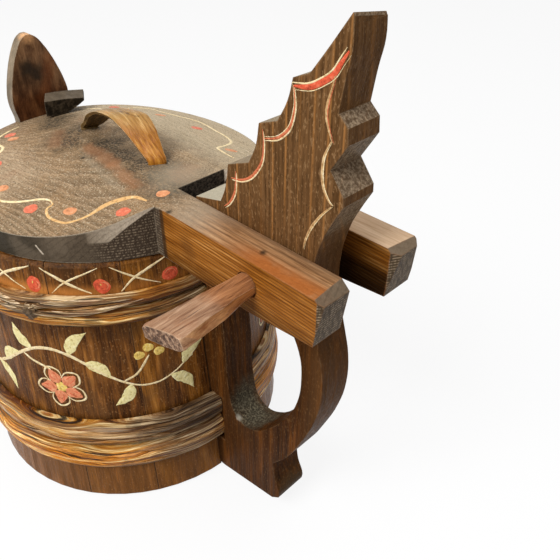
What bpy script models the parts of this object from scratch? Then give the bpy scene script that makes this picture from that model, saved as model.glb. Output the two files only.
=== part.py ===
"""Wooden tankard: a staved vessel with bent hoops, a fin-topped handle board and a forked lid.

Metres, +Z up.  The handle points to +X.  Heights are measured from the table, and X and Y
from the vessel's own axis; one root empty then centres the whole tankard on the origin.
"""

from math import asin, copysign, cos, hypot, pi, radians, sin

import bmesh
import bpy
from mathutils import Matrix, Vector

OBJECT_NAME = "wooden_tankard"
GAP = 0.0003                    # clearance between touching pieces
SHARP_ANGLE = radians(35)

# Vessel
BASE_RADIUS = 0.0915            # outside of the staves at the table
RIM_RADIUS = 0.0803             # outside of the staves under the lid
VESSEL_Y = -0.0025              # the vessel's axis lies beside the middle of the handle board
BODY_HEIGHT = 0.1566
STAVE_THICKNESS = 0.0095
STAVE_COUNT = 14
STAVE_STEPS = 4                 # flats across one stave
EDGE_CHAMFER = 0.0015
CROZE_LOW = 0.0160              # groove that holds the bottom
CROZE_HIGH = 0.0226
CROZE_DEPTH = 0.0030
BOTTOM_STEPS = 64

# Hoops: (name, low edge, high edge) of each split strand
HOOP_STRANDS = (
    ("lower_hoop_bottom_strand", 0.0275, 0.0442),
    ("lower_hoop_top_strand", 0.0448, 0.0615),
    ("upper_hoop_bottom_strand", 0.1245, 0.1332),
    ("upper_hoop_top_strand", 0.1337, 0.1405),
)
STRAND_DEPTH = 0.0055
STRAND_STEPS = 72
POCKET_DEPTH = 0.0030           # strand ends stand in pockets in the handle board
POCKET_MARGIN = 0.0006

# Handle board
BOARD_FOOT_THICKNESS = 0.0190
BOARD_TOP_THICKNESS = 0.0160
FIN_TOP = 0.2750
FIN_FRONT_X = 0.0865            # front edge of the board in the lid's fork
FIN_TOP_SLANT = 0.0022          # the fin's tip falls away to the far side
FOOT_LIFT = 0.0020              # the board stops short of the table

# Lid
LID_RADIUS = 0.0815
LID_BOTTOM = BODY_HEIGHT + GAP
ARM_TOP = 0.1836
ARM_END_X = 0.1757
ARM_WIDTH = 0.0160
FORK_GAP = 0.0264
FORK_END_X = 0.0740
FAR_ARM_WIDTH = 0.0170
FAR_ARM_SHIFT = 0.0015          # the far arm stands farther from the board than the near one
FAR_ARM_BEVEL_X = 0.0026        # its inner corner is cut off at the end
FAR_ARM_BEVEL_Y = 0.0045
LID_SHIFT_Y = 0.0041            # the lid sits pushed along its pin, near arm against the board
RIDGE_HALF_WIDTH = 0.0150       # flat crest of the lid's top
FRONT_SLOPE = 0.180             # fall of the lid's top towards its rim
NEAR_SLOPE = 0.225
NEAR_ROLL = 0.035               # the near side falls off more towards the arms
NEAR_ROLL_X = (0.0250, 0.0580)
FAR_SLOPE = 0.290
ARM_ROOT_SLOPE = 0.066
NEAR_ROOT_X = (0.0680, 0.0820)  # along this the top rises to meet each arm
FAR_ROOT_X = (0.0600, 0.0800)
LID_GRID = 0.0055               # facet size of the carved top
ARM_END_CHAMFER = 0.0042
ARM_END_LEAN = 0.0030
ARM_END_RISE = 0.0033           # the arms' undersides rise towards their ends
ARM_CORNER_CHAMFER = 0.0020

# Hinge pin
PIN_X = 0.1368
PIN_Z = 0.1705
PIN_RADIUS = 0.0053
PIN_CLEARANCE = 0.0004
PIN_FAR_Y = 0.0370
PIN_HEAD_Y = -0.0670
PIN_HEAD_ROLL = radians(20)
PIN_HEAD_DROP = 0.0020

# Front tongue and its key
TONGUE_INNER_X = -0.0760
TONGUE_THICKNESS = 0.0070
TONGUE_HALF_WIDTH = 0.0164
KEY_Y = 0.0130
KEY_Z = 0.1798                  # middle of the shank at the tongue's inner face
KEY_TILT = radians(12)          # the key is drawn up along the slope of the lid
KEY_SHANK_HALF_WIDTH = 0.0042
KEY_SHANK_HALF_HEIGHT = 0.0032
KEY_TAIL_LENGTH = 0.0150
KEY_HEAD_X = -0.0625            # free end of the head
KEY_SKEW = 0.58                 # the head is cut askew in plan

# Bent strap on the lid
STRAP_Y = -0.0005
STRAP_WIDTH = 0.0160
STRAP_END_SHARE = 0.45          # the strap narrows to this share of its width at both ends
STRAP_CROWN_SHIFT = 0.0010      # its crown leans to the far side
STRAP_SKEW = 0.60               # its ends stand askew in the lid
STRAP_THICKNESS = 0.0026
STRAP_FRONT_X = -0.0150
STRAP_BACK_X = 0.0468
STRAP_SINK = 0.0090             # depth of each end in its mortise

WOOD_COLOURS = {
    "handle_board": (0.10, 0.052, 0.030, 1.0),
    "stave": (0.085, 0.042, 0.024, 1.0),
    "bottom_disc": (0.16, 0.10, 0.060, 1.0),
    "hoop": (0.24, 0.115, 0.040, 1.0),
    "lid": (0.14, 0.088, 0.058, 1.0),
    "hinge_pin": (0.12, 0.060, 0.045, 1.0),
    "lid_strap": (0.42, 0.20, 0.050, 1.0),
    "lid_tongue": (0.13, 0.055, 0.030, 1.0),
    "tongue_key": (0.075, 0.060, 0.052, 1.0),
}


def share(value, low, high):
    """How far a value lies from low to high, from 0 to 1."""
    return min(1.0, max(0.0, (value - low) / (high - low)))


def outer_radius(z):
    """Outside radius of the tapering staves at height z."""
    return BASE_RADIUS + (RIM_RADIUS - BASE_RADIUS) * z / BODY_HEIGHT


def inner_radius(z):
    return outer_radius(z) - STAVE_THICKNESS


def board_half_thickness(z):
    """The handle board is planed thinner towards the top of its fin."""
    taper = (BOARD_FOOT_THICKNESS - BOARD_TOP_THICKNESS) * z / FIN_TOP
    return 0.5 * (BOARD_FOOT_THICKNESS - taper)


def clear_scene():
    for obj in list(bpy.data.objects):
        bpy.data.objects.remove(obj, do_unlink=True)


def new_collection(name):
    collection = bpy.data.collections.new(name)
    bpy.context.scene.collection.children.link(collection)
    return collection


def new_empty(name, location, parent):
    empty = bpy.data.objects.new(name, None)
    empty.empty_display_size = 0.02
    empty.location = location
    empty.parent = parent
    PARTS.objects.link(empty)
    return empty


def wood(name, colour):
    material = bpy.data.materials.new(name)
    material.use_nodes = True
    shader = material.node_tree.nodes["Principled BSDF"]
    shader.inputs["Base Color"].default_value = colour
    shader.inputs["Roughness"].default_value = 0.45
    shader.inputs["Metallic"].default_value = 0.0
    return material


def add_part(name, mesh, kind, parent):
    """Put a mesh, drawn in vessel coordinates, into the model under its parent empty."""
    obj = bpy.data.objects.new(name, mesh)
    obj.parent = parent
    obj.location = -AXIS_OF[parent.name]
    mesh.materials.append(wood(name, WOOD_COLOURS[kind]))
    PARTS.objects.link(obj)
    return obj


def add_cutter(name, mesh):
    obj = bpy.data.objects.new(name, mesh)
    obj.parent = ROOT
    obj.hide_render = True
    obj.display_type = "WIRE"
    CUTTERS.objects.link(obj)
    return obj


def boolean(obj, cutter, operation="DIFFERENCE"):
    modifier = obj.modifiers.new(cutter.name, "BOOLEAN")
    modifier.operation = operation
    modifier.solver = "EXACT"
    modifier.object = cutter


def crisp_edges_group():
    """Geometry nodes that shade faces smooth and keep every edge over SHARP_ANGLE crisp."""
    group = bpy.data.node_groups.new("smooth_between_crisp_edges", "GeometryNodeTree")
    group.interface.new_socket("Geometry", in_out="INPUT", socket_type="NodeSocketGeometry")
    group.interface.new_socket("Geometry", in_out="OUTPUT", socket_type="NodeSocketGeometry")
    start = group.nodes.new("NodeGroupInput")
    end = group.nodes.new("NodeGroupOutput")
    faces = group.nodes.new("GeometryNodeSetShadeSmooth")
    edges = group.nodes.new("GeometryNodeSetShadeSmooth")
    edges.domain = "EDGE"
    angle = group.nodes.new("GeometryNodeInputMeshEdgeAngle")
    shallow = group.nodes.new("ShaderNodeMath")
    shallow.operation = "LESS_THAN"
    shallow.inputs[1].default_value = SHARP_ANGLE
    group.links.new(start.outputs["Geometry"], faces.inputs["Geometry"])
    group.links.new(faces.outputs["Geometry"], edges.inputs["Geometry"])
    group.links.new(angle.outputs["Unsigned Angle"], shallow.inputs[0])
    group.links.new(shallow.outputs[0], edges.inputs["Shade Smooth"])
    group.links.new(edges.outputs["Geometry"], end.inputs["Geometry"])
    return group


def shade_parts():
    group = crisp_edges_group()
    for obj in PARTS.objects:
        if obj.type == "MESH":
            obj.modifiers.new(group.name, "NODES").node_group = group


def finish_mesh(bm, name):
    bmesh.ops.recalc_face_normals(bm, faces=bm.faces)
    mesh = bpy.data.meshes.new(name)
    bm.to_mesh(mesh)
    bm.free()
    return mesh


def box_mesh(name, low, high):
    bm = bmesh.new()
    bmesh.ops.create_cube(bm, size=1.0)
    low = Vector(low)
    high = Vector(high)
    size = high - low
    bmesh.ops.scale(bm, vec=size, verts=bm.verts)
    bmesh.ops.translate(bm, vec=(low + high) / 2, verts=bm.verts)
    return finish_mesh(bm, name)


def round_bar_mesh(name, radius, low_y, high_y, sides=32):
    """A round bar along Y on the hinge axis."""
    bm = bmesh.new()
    bmesh.ops.create_cone(bm, cap_ends=True, segments=sides, radius1=radius, radius2=radius,
                          depth=high_y - low_y)
    bmesh.ops.rotate(bm, matrix=Matrix.Rotation(pi / 2, 3, "X"), verts=bm.verts)
    bmesh.ops.translate(bm, vec=(PIN_X, (low_y + high_y) / 2, PIN_Z), verts=bm.verts)
    return finish_mesh(bm, name)


def turned_sector_mesh(name, profile, start, span, steps):
    """Turn a closed (radius, height) profile through part of a circle and close both ends."""
    bm = bmesh.new()
    ring = [bm.verts.new((radius, 0.0, z)) for radius, z in profile]
    for first, second in zip(ring, ring[1:] + ring[:1]):
        bm.edges.new((first, second))
    bmesh.ops.rotate(bm, matrix=Matrix.Rotation(start, 3, "Z"), verts=bm.verts)
    bmesh.ops.spin(bm, geom=bm.verts[:] + bm.edges[:], cent=(0, 0, 0), axis=(0, 0, 1),
                   angle=span, steps=steps)
    open_edges = [edge for edge in bm.edges if edge.is_boundary]
    bmesh.ops.holes_fill(bm, edges=open_edges, sides=0)
    return finish_mesh(bm, name)


def outline_mesh(name, outlines, half_depth, plane, resolution=4):
    """Extrude flat outlines to a solid.

    Each point is (u, v, kind): kind "corner" is sharp and "round" lies on a smooth curve.
    The plane "XY" keeps (u, v) flat, "XZ" and "YZ" stand them upright.
    """
    curve = bpy.data.curves.new(name, "CURVE")
    curve.dimensions = "2D"
    curve.fill_mode = "BOTH"
    curve.extrude = half_depth
    curve.resolution_u = resolution
    handle = {"corner": "VECTOR", "round": "AUTO"}
    for outline in outlines:
        spline = curve.splines.new("BEZIER")
        spline.use_cyclic_u = True
        spline.bezier_points.add(len(outline) - 1)
        for point, (u, v, kind) in zip(spline.bezier_points, outline):
            point.co = (u, v, 0.0)
            point.handle_left_type = handle[kind]
            point.handle_right_type = handle[kind]
    holder = bpy.data.objects.new(name, curve)
    bpy.context.scene.collection.objects.link(holder)
    evaluated = holder.evaluated_get(bpy.context.evaluated_depsgraph_get())
    flat = bpy.data.meshes.new_from_object(evaluated)
    bpy.data.objects.remove(holder, do_unlink=True)

    bm = bmesh.new()
    bm.from_mesh(flat)
    bpy.data.meshes.remove(flat)
    bmesh.ops.remove_doubles(bm, verts=bm.verts, dist=0.00001)
    axes = {"XY": ((1, 0, 0), (0, 1, 0), (0, 0, 1)),
            "XZ": ((1, 0, 0), (0, 0, 1), (0, -1, 0)),
            "YZ": ((0, 1, 0), (0, 0, 1), (1, 0, 0))}[plane]
    stand = Matrix(axes).transposed()
    bmesh.ops.transform(bm, matrix=stand.to_4x4(), verts=bm.verts)
    return finish_mesh(bm, name)


def move_mesh(mesh, offset):
    mesh.transform(Matrix.Translation(offset))
    return mesh


# Vessel

def stave_profile():
    """Section of a stave: bevelled feet and rim, and the croze groove on the inside."""
    top = BODY_HEIGHT
    return (
        (outer_radius(0) - EDGE_CHAMFER, 0.0),
        (outer_radius(EDGE_CHAMFER), EDGE_CHAMFER),
        (outer_radius(top), top - EDGE_CHAMFER),
        (outer_radius(top) - EDGE_CHAMFER, top),
        (inner_radius(top), top),
        (inner_radius(CROZE_HIGH), CROZE_HIGH),
        (inner_radius(CROZE_HIGH) + CROZE_DEPTH, CROZE_HIGH),
        (inner_radius(CROZE_LOW) + CROZE_DEPTH, CROZE_LOW),
        (inner_radius(CROZE_LOW), CROZE_LOW),
        (inner_radius(0), 0.0),
    )


def make_staves():
    """Staves share the wall on both sides of the handle board, which is a stave itself."""
    slot_half = board_half_thickness(0) + GAP
    slot = add_cutter("board_slot", box_mesh("board_slot", (0, -slot_half, -0.01), (0.2, slot_half, 0.2)))
    middle_radius = outer_radius(BODY_HEIGHT / 2)
    first_angle = asin((slot_half - VESSEL_Y) / middle_radius)
    last_angle = 2 * pi - asin((slot_half + VESSEL_Y) / middle_radius)
    span = (last_angle - first_angle) / STAVE_COUNT
    overlap = radians(3)
    joint = GAP / (2 * inner_radius(BODY_HEIGHT))
    for index in range(STAVE_COUNT):
        first = index == 0
        last = index == STAVE_COUNT - 1
        start = first_angle + index * span + (-overlap if first else joint)
        end = first_angle + (index + 1) * span + (overlap if last else -joint)
        name = f"stave_{index + 1:02d}"
        mesh = turned_sector_mesh(name, stave_profile(), start, end - start, STAVE_STEPS)
        stave = add_part(name, mesh, "stave", VESSEL_AXIS)
        if first or last:
            boolean(stave, slot)


def make_bottom():
    """Disc with a bevelled edge, sprung into the croze."""
    low = CROZE_LOW + GAP
    high = CROZE_HIGH - GAP
    radius = inner_radius(CROZE_HIGH) + CROZE_DEPTH - 2 * GAP
    bm = bmesh.new()
    bmesh.ops.create_cone(bm, cap_ends=True, segments=BOTTOM_STEPS, radius1=radius, radius2=radius,
                          depth=high - low)
    bmesh.ops.translate(bm, vec=(0, 0, (low + high) / 2), verts=bm.verts)
    add_part("bottom_disc", finish_mesh(bm, "bottom_disc"), "bottom_disc", VESSEL_AXIS)


def strand_profile(low, high):
    """Half-round section of a split strand lying on the tapered staves."""
    middle = (low + high) / 2
    half = (high - low) / 2
    shoulder = 0.0012
    round_points = 7
    points = [(outer_radius(low) + GAP, low)]
    for step in range(round_points):
        turn = -pi / 2 + pi * step / (round_points - 1)
        z = middle + half * sin(turn)
        bulge = shoulder + (STRAND_DEPTH - shoulder) * cos(turn)
        points.append((outer_radius(z) + GAP + bulge, z))
    points.append((outer_radius(high) + GAP, high))
    return points


def make_hoops():
    """Each strand runs round the staves from one side of the handle board to the other."""
    for name, low, high in HOOP_STRANDS:
        middle_radius = outer_radius((low + high) / 2) + STRAND_DEPTH / 2
        reach = board_half_thickness(low) - POCKET_DEPTH + 2 * GAP
        start = asin((reach - VESSEL_Y) / middle_radius)
        end = 2 * pi - asin((reach + VESSEL_Y) / middle_radius)
        mesh = turned_sector_mesh(name, strand_profile(low, high), start, end - start, STRAND_STEPS)
        add_part(name, mesh, "hoop", VESSEL_AXIS)


# Handle board

def board_outline():
    """Side view of the board, from its foot up the fork edge, the fin, and down the grip."""
    front = inner_radius
    corner = "corner"
    smooth = "round"
    stave_edge = [
        (front(FOOT_LIFT), FOOT_LIFT, corner),
        (front(CROZE_LOW), CROZE_LOW, corner),
        (front(CROZE_LOW) + CROZE_DEPTH, CROZE_LOW, corner),
        (front(CROZE_HIGH) + CROZE_DEPTH, CROZE_HIGH, corner),
        (front(CROZE_HIGH), CROZE_HIGH, corner),
        (front(BODY_HEIGHT), BODY_HEIGHT - GAP, corner),
        (FIN_FRONT_X, BODY_HEIGHT - GAP, corner),
    ]
    fin_front = [
        (FIN_FRONT_X, 0.1842, corner),
        (0.1035, 0.1885, corner),
        (0.1070, 0.1965, smooth),
        (0.1092, 0.2075, corner),
        (0.1215, 0.2125, corner),
        (0.1255, 0.2205, smooth),
        (0.1274, 0.2302, corner),
        (0.1368, 0.2336, corner),
        (0.1417, 0.2425, smooth),
        (0.1440, 0.2508, corner),
        (0.1515, 0.2540, corner),
        (0.1590, 0.2638, smooth),
        (0.1672, FIN_TOP, corner),
    ]
    fin_back = [
        (0.1677, 0.2740, corner),
        (0.1681, 0.2650, smooth),
        (0.1663, 0.2560, smooth),
        (0.1644, 0.2440, corner),
        (0.1687, 0.2402, corner),
        (0.1692, 0.2345, corner),
        (0.1624, 0.2235, corner),
        (0.1690, 0.2152, corner),
        (0.1692, 0.2118, corner),
        (0.1645, 0.2030, smooth),
        (0.1603, 0.1935, smooth),
    ]
    grip_back = [
        (0.1566, 0.1760, smooth),
        (0.1576, 0.1580, smooth),
        (0.1616, 0.1430, smooth),
        (0.1649, 0.1290, smooth),
        (0.1652, 0.1120, smooth),
        (0.1618, 0.0950, smooth),
        (0.1540, 0.0740, smooth),
        (0.1455, 0.0560, smooth),
        (0.1356, 0.0420, corner),
    ]
    foot = [
        (0.1372, 0.0310, smooth),
        (0.1408, 0.0215, smooth),
        (0.1402, 0.0165, corner),
        (0.1352, 0.0120, corner),
        (0.0950, 0.0032, corner),
    ]
    return stave_edge + fin_front + fin_back + grip_back + foot


def finger_hole():
    points = ((0.1012, 0.1000), (0.1025, 0.0690), (0.1060, 0.0580), (0.1130, 0.0542), (0.1225, 0.0575),
              (0.1345, 0.0700), (0.1450, 0.0862), (0.1512, 0.1010), (0.1533, 0.1180), (0.1512, 0.1330),
              (0.1440, 0.1440), (0.1310, 0.1500), (0.1130, 0.1495), (0.1030, 0.1400))
    return [(x, z, "round") for x, z in points]


def taper_board(mesh):
    for vertex in mesh.vertices:
        side = 1 if vertex.co.y > 0 else -1
        vertex.co.y = side * board_half_thickness(vertex.co.z)
        if side > 0 and vertex.co.z > FIN_TOP - 0.002:
            vertex.co.z -= FIN_TOP_SLANT


def make_handle_board():
    half = BOARD_FOOT_THICKNESS / 2
    mesh = outline_mesh("handle_board", [board_outline(), finger_hole()], half, "XZ")
    taper_board(mesh)
    board = add_part("handle_board", mesh, "handle_board", ROOT)
    bore = round_bar_mesh("board_pin_bore", PIN_RADIUS + PIN_CLEARANCE, -0.03, 0.03)
    boolean(board, add_cutter("board_pin_bore", bore))
    for low_strand, high_strand in (HOOP_STRANDS[:2], HOOP_STRANDS[2:]):
        low = low_strand[1] - POCKET_MARGIN
        high = high_strand[2] + POCKET_MARGIN
        inside = outer_radius(high) - POCKET_MARGIN
        outside = outer_radius(low) + STRAND_DEPTH + 2 * POCKET_MARGIN
        for side in (-1, 1):
            depth = board_half_thickness(low) - POCKET_DEPTH
            reach = side * (depth + 0.02)
            name = f"hoop_pocket_{low_strand[0][:5]}_{'near' if side < 0 else 'far'}"
            corners = sorted((side * depth, reach))
            pocket = box_mesh(name, (inside, corners[0], low), (outside, corners[1], high))
            boolean(board, add_cutter(name, pocket))


# Lid and the pieces that ride on it

def lid_top(x, y):
    """Height of the carved top: a flat crest along X that falls away to the rim."""
    across = y - LID_SHIFT_Y
    if across > 0:
        side_slope = FAR_SLOPE
        root_share = share(x, *FAR_ROOT_X)
    else:
        side_slope = NEAR_SLOPE + NEAR_ROLL * share(x, *NEAR_ROLL_X)
        root_share = share(x, *NEAR_ROOT_X)
    if x < 0:
        away = hypot(x, across)
        side_share = (across / away) ** 2
        slope = FRONT_SLOPE + (side_slope - FRONT_SLOPE) * side_share
    else:
        away = abs(across)
        slope = side_slope + (ARM_ROOT_SLOPE - side_slope) * root_share
    return ARM_TOP - slope * max(0.0, away - RIDGE_HALF_WIDTH)


def lid_block_mesh():
    """Block with the carved top, larger than the lid's outline."""
    reach_x = (-0.090, ARM_END_X + 0.01)
    reach_y = 0.092
    cells_x = round((reach_x[1] - reach_x[0]) / LID_GRID)
    cells_y = round(2 * reach_y / LID_GRID)
    bm = bmesh.new()
    bmesh.ops.create_grid(bm, x_segments=cells_x, y_segments=cells_y, size=0.5)
    for vertex in bm.verts:
        x = reach_x[0] + (vertex.co.x + 0.5) * (reach_x[1] - reach_x[0])
        y = LID_SHIFT_Y + 2 * reach_y * vertex.co.y
        vertex.co = (x, y, lid_top(x, y))
    top = bm.faces[:]
    sides = bmesh.ops.extrude_face_region(bm, geom=top)
    for vertex in [item for item in sides["geom"] if isinstance(item, bmesh.types.BMVert)]:
        vertex.co.z = LID_BOTTOM
    return finish_mesh(bm, "lid_block")


def lid_arc(start, end, steps=36):
    centre_y = LID_SHIFT_Y + VESSEL_Y
    angles = [start + (end - start) * step / steps for step in range(steps + 1)]
    return [(LID_RADIUS * cos(angle), centre_y + LID_RADIUS * sin(angle)) for angle in angles]


def lid_outline():
    """Plan view: a disc with two arms behind and a seat for the tongue in front."""
    far_in = LID_SHIFT_Y + FORK_GAP / 2 + FAR_ARM_SHIFT
    far_out = far_in + FAR_ARM_WIDTH
    near_in = LID_SHIFT_Y - FORK_GAP / 2
    near_out = near_in - ARM_WIDTH
    seat_x = TONGUE_INNER_X + GAP
    seat_far = LID_SHIFT_Y + TONGUE_HALF_WIDTH + GAP
    seat_near = LID_SHIFT_Y - TONGUE_HALF_WIDTH - GAP
    rim_meets = (far_out, near_out, seat_far, seat_near)
    angle_at = {y: asin((y - LID_SHIFT_Y - VESSEL_Y) / LID_RADIUS) for y in rim_meets}
    cut = ARM_CORNER_CHAMFER
    far_arm = [(FORK_END_X, far_in), (ARM_END_X - FAR_ARM_BEVEL_X, far_in),
               (ARM_END_X, far_in + FAR_ARM_BEVEL_Y), (ARM_END_X, far_out - cut),
               (ARM_END_X - cut, far_out)]
    far_rim = lid_arc(angle_at[far_out], pi - angle_at[seat_far])
    seat = [(seat_x, seat_far), (seat_x, seat_near)]
    near_rim = lid_arc(pi - angle_at[seat_near], 2 * pi + angle_at[near_out])
    near_arm = [(ARM_END_X - cut, near_out), (ARM_END_X, near_out + cut), (ARM_END_X, near_in),
                (FORK_END_X, near_in)]
    return [(x, y, "corner") for x, y in far_arm + far_rim + seat + near_rim + near_arm]


def lid_side_outline():
    """Side view that bevels and leans the ends of the arms and lifts their undersides."""
    low = LID_BOTTOM - 0.005
    high = ARM_TOP + 0.02
    bevel_x = ARM_END_X - ARM_END_CHAMFER
    points = ((-0.1, low), (PIN_X - 0.006, low), (PIN_X + 0.002, LID_BOTTOM),
              (ARM_END_X - ARM_END_LEAN, LID_BOTTOM + ARM_END_RISE),
              (ARM_END_X, ARM_TOP - 0.9 * ARM_END_CHAMFER), (bevel_x, ARM_TOP),
              (bevel_x - 0.02, high), (-0.1, high))
    return [(x, z, "corner") for x, z in points]


def make_lid():
    lid = add_part("lid", lid_block_mesh(), "lid", LID_AXIS)
    plan = outline_mesh("lid_plan", [lid_outline()], 0.05, "XY")
    boolean(lid, add_cutter("lid_plan", move_mesh(plan, (0, 0, ARM_TOP))), "INTERSECT")
    side = outline_mesh("lid_side", [lid_side_outline()], 0.12, "XZ")
    boolean(lid, add_cutter("lid_side", side), "INTERSECT")
    bore = round_bar_mesh("lid_pin_bore", PIN_RADIUS + PIN_CLEARANCE, -0.06, 0.06)
    boolean(lid, add_cutter("lid_pin_bore", bore))
    for name, x in (("strap_mortise_front", STRAP_FRONT_X), ("strap_mortise_back", STRAP_BACK_X)):
        half_x = STRAP_THICKNESS / 2 + GAP
        half_y = STRAP_WIDTH / 2 + GAP / STRAP_END_SHARE
        low = (x - half_x, -half_y, ARM_TOP - STRAP_SINK - 0.001)
        high = (x + half_x, half_y, ARM_TOP + 0.001)
        boolean(lid, add_cutter(name, shape_strap(box_mesh(name, low, high))))


def shape_strap(mesh):
    """Narrow the strap towards its ends, set it askew and move it over the lid."""
    for vertex in mesh.vertices:
        rise = share(vertex.co.z, ARM_TOP, ARM_TOP + 0.012)
        vertex.co.y *= STRAP_END_SHARE + (1 - STRAP_END_SHARE) * rise
        vertex.co.x += STRAP_SKEW * vertex.co.y
        vertex.co.y += STRAP_Y + STRAP_CROWN_SHIFT * rise
    return mesh


def strap_path():
    """Middle line of the bent strip, from its front mortise over the crown to the back one."""
    foot = ARM_TOP - STRAP_SINK
    top = ARM_TOP + 0.0007
    return [(STRAP_FRONT_X, foot, "corner"), (STRAP_FRONT_X, top, "corner"), (-0.0095, 0.1886, "round"),
            (-0.0022, 0.1945, "round"), (0.0080, 0.1994, "round"), (0.0165, 0.2012, "round"),
            (0.0238, 0.2014, "round"), (0.0286, 0.1999, "round"), (0.0336, 0.1966, "round"),
            (0.0388, 0.1920, "round"), (0.0442, 0.1871, "round"), (STRAP_BACK_X, top, "corner"),
            (STRAP_BACK_X, foot, "corner")]


def strip_outline(path, thickness):
    """Closed outline of a strip of even thickness along a path."""
    sides = ([], [])
    for index, (x, z, kind) in enumerate(path):
        before = path[max(index - 1, 0)]
        after = path[min(index + 1, len(path) - 1)]
        run = Vector((after[0] - before[0], after[1] - before[1])).normalized()
        vertical = kind == "corner"
        across = Vector((-1 if index < len(path) / 2 else 1, 0)) if vertical else Vector((-run.y, run.x))
        for side, sign in zip(sides, (1, -1)):
            side.append((x + sign * across.x * thickness / 2, z + sign * across.y * thickness / 2, kind))
    return sides[0] + sides[1][::-1]


def make_strap():
    outline = strip_outline(strap_path(), STRAP_THICKNESS)
    mesh = outline_mesh("lid_strap", [outline], STRAP_WIDTH / 2, "XZ")
    add_part("lid_strap", shape_strap(mesh), "lid_strap", LID_AXIS)


def tongue_outline():
    """Pointed arch, seen from the lid's middle, with straight sides in the lid."""
    half = TONGUE_HALF_WIDTH
    right = [(half, LID_BOTTOM, "corner"), (half, 0.1735, "corner"), (0.0178, 0.1830, "round"),
             (0.0165, 0.1915, "round"), (0.0144, 0.1985, "round"), (0.0115, 0.2060, "round"),
             (0.0078, 0.2132, "round"), (0.0044, 0.2178, "round"), (0.0014, 0.2197, "corner")]
    left = [(-y, z, kind) for y, z, kind in reversed(right)]
    return [(y + LID_SHIFT_Y, z, kind) for y, z, kind in right + left]


def place_on_key(mesh):
    """Move a mesh drawn along the key into the tongue, tilted with the key."""
    mesh.transform(Matrix.Translation(KEY_PLACE) @ Matrix.Rotation(-KEY_TILT, 4, "Y"))
    return mesh


def make_tongue():
    mesh = outline_mesh("lid_tongue", [tongue_outline()], TONGUE_THICKNESS / 2, "YZ")
    centre = TONGUE_INNER_X - TONGUE_THICKNESS / 2
    tongue = add_part("lid_tongue", move_mesh(mesh, (centre, 0, 0)), "lid_tongue", LID_AXIS)
    half_y = KEY_SHANK_HALF_WIDTH + GAP
    half_z = KEY_SHANK_HALF_HEIGHT + GAP
    mortise = box_mesh("key_mortise", (-0.02, -half_y, -half_z), (0.01, half_y, half_z))
    boolean(tongue, add_cutter("key_mortise", place_on_key(mortise)))


def key_head_outline():
    """End of the key's head: flat top that falls to the far side, rounded underside."""
    corner = "corner"
    smooth = "round"
    return [(-0.0010, 0.1853, corner), (-0.0014, 0.1764, corner), (0.0045, 0.1757, smooth),
            (0.0110, 0.1757, smooth), (0.0190, 0.1775, smooth), (0.0244, 0.1798, corner),
            (0.0242, 0.1816, corner), (0.0110, 0.1840, smooth)]


def make_key():
    """A skewed head with a straight shank that goes down through the tongue."""
    back = TONGUE_INNER_X + 2 * GAP
    half = (KEY_HEAD_X - back) / 2
    head = outline_mesh("key_head", [key_head_outline()], half, "YZ")
    move_mesh(head, (back + half, 0, 0))
    for vertex in head.vertices:
        vertex.co.y += KEY_SKEW * (KEY_HEAD_X - vertex.co.x)
    shank_low = (-KEY_TAIL_LENGTH, -KEY_SHANK_HALF_WIDTH, -KEY_SHANK_HALF_HEIGHT)
    shank_high = (2 * half / 3, KEY_SHANK_HALF_WIDTH, KEY_SHANK_HALF_HEIGHT)
    shank = place_on_key(box_mesh("key_shank", shank_low, shank_high))
    key = add_part("tongue_key", head, "tongue_key", KEY_AXIS)
    boolean(key, add_cutter("key_shank", shank), "UNION")


# Hinge pin

def pin_sections():
    """(y, half width, half height, turn to the head, squareness) from the far tip to the head."""
    radius = PIN_RADIUS
    near_face = LID_SHIFT_Y - FORK_GAP / 2 - ARM_WIDTH
    return (
        (PIN_FAR_Y, 0.80 * radius, 0.80 * radius, 0.0, 2.0),
        (PIN_FAR_Y - 0.003, radius, radius, 0.0, 2.0),
        (near_face - 0.002, radius, radius, 0.0, 2.0),
        (near_face - 0.012, 1.30 * radius, 0.98 * radius, 0.4, 2.6),
        (near_face - 0.026, 2.00 * radius, 0.88 * radius, 0.8, 3.4),
        (PIN_HEAD_Y + 0.002, 2.68 * radius, 0.80 * radius, 1.0, 3.6),
        (PIN_HEAD_Y, 2.58 * radius, 0.70 * radius, 1.0, 3.6),
    )


def rounded_section(wide, tall, squareness, turn):
    """Point of a section that goes from round to nearly square-edged."""
    u = abs(cos(turn)) ** (2 / squareness)
    v = abs(sin(turn)) ** (2 / squareness)
    return wide * copysign(u, cos(turn)), tall * copysign(v, sin(turn))


def make_pin(sides=24):
    """Loft of unlike sections: round in the arms, a wide paddle at the head."""
    bm = bmesh.new()
    rings = []
    for y, wide, tall, turned, squareness in pin_sections():
        roll = turned * PIN_HEAD_ROLL
        middle_z = PIN_Z - turned * PIN_HEAD_DROP
        ring = []
        for step in range(sides):
            u, v = rounded_section(wide, tall, squareness, 2 * pi * (step + 0.5) / sides)
            x = PIN_X + u * cos(roll) - v * sin(roll)
            z = middle_z + u * sin(roll) + v * cos(roll)
            ring.append(bm.verts.new((x, y, z)))
        rings.append(ring)
    for near, far in zip(rings, rings[1:]):
        for step in range(sides):
            after = (step + 1) % sides
            bm.faces.new((near[step], near[after], far[after], far[step]))
    bm.faces.new(rings[0])
    bm.faces.new(rings[-1])
    add_part("hinge_pin", finish_mesh(bm, "hinge_pin"), "hinge_pin", PIN_AXIS)


def front_reach():
    """Farthest point of the hoops from the vessel's axis."""
    return max(radius for _, low, high in HOOP_STRANDS for radius, _ in strand_profile(low, high))


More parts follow.
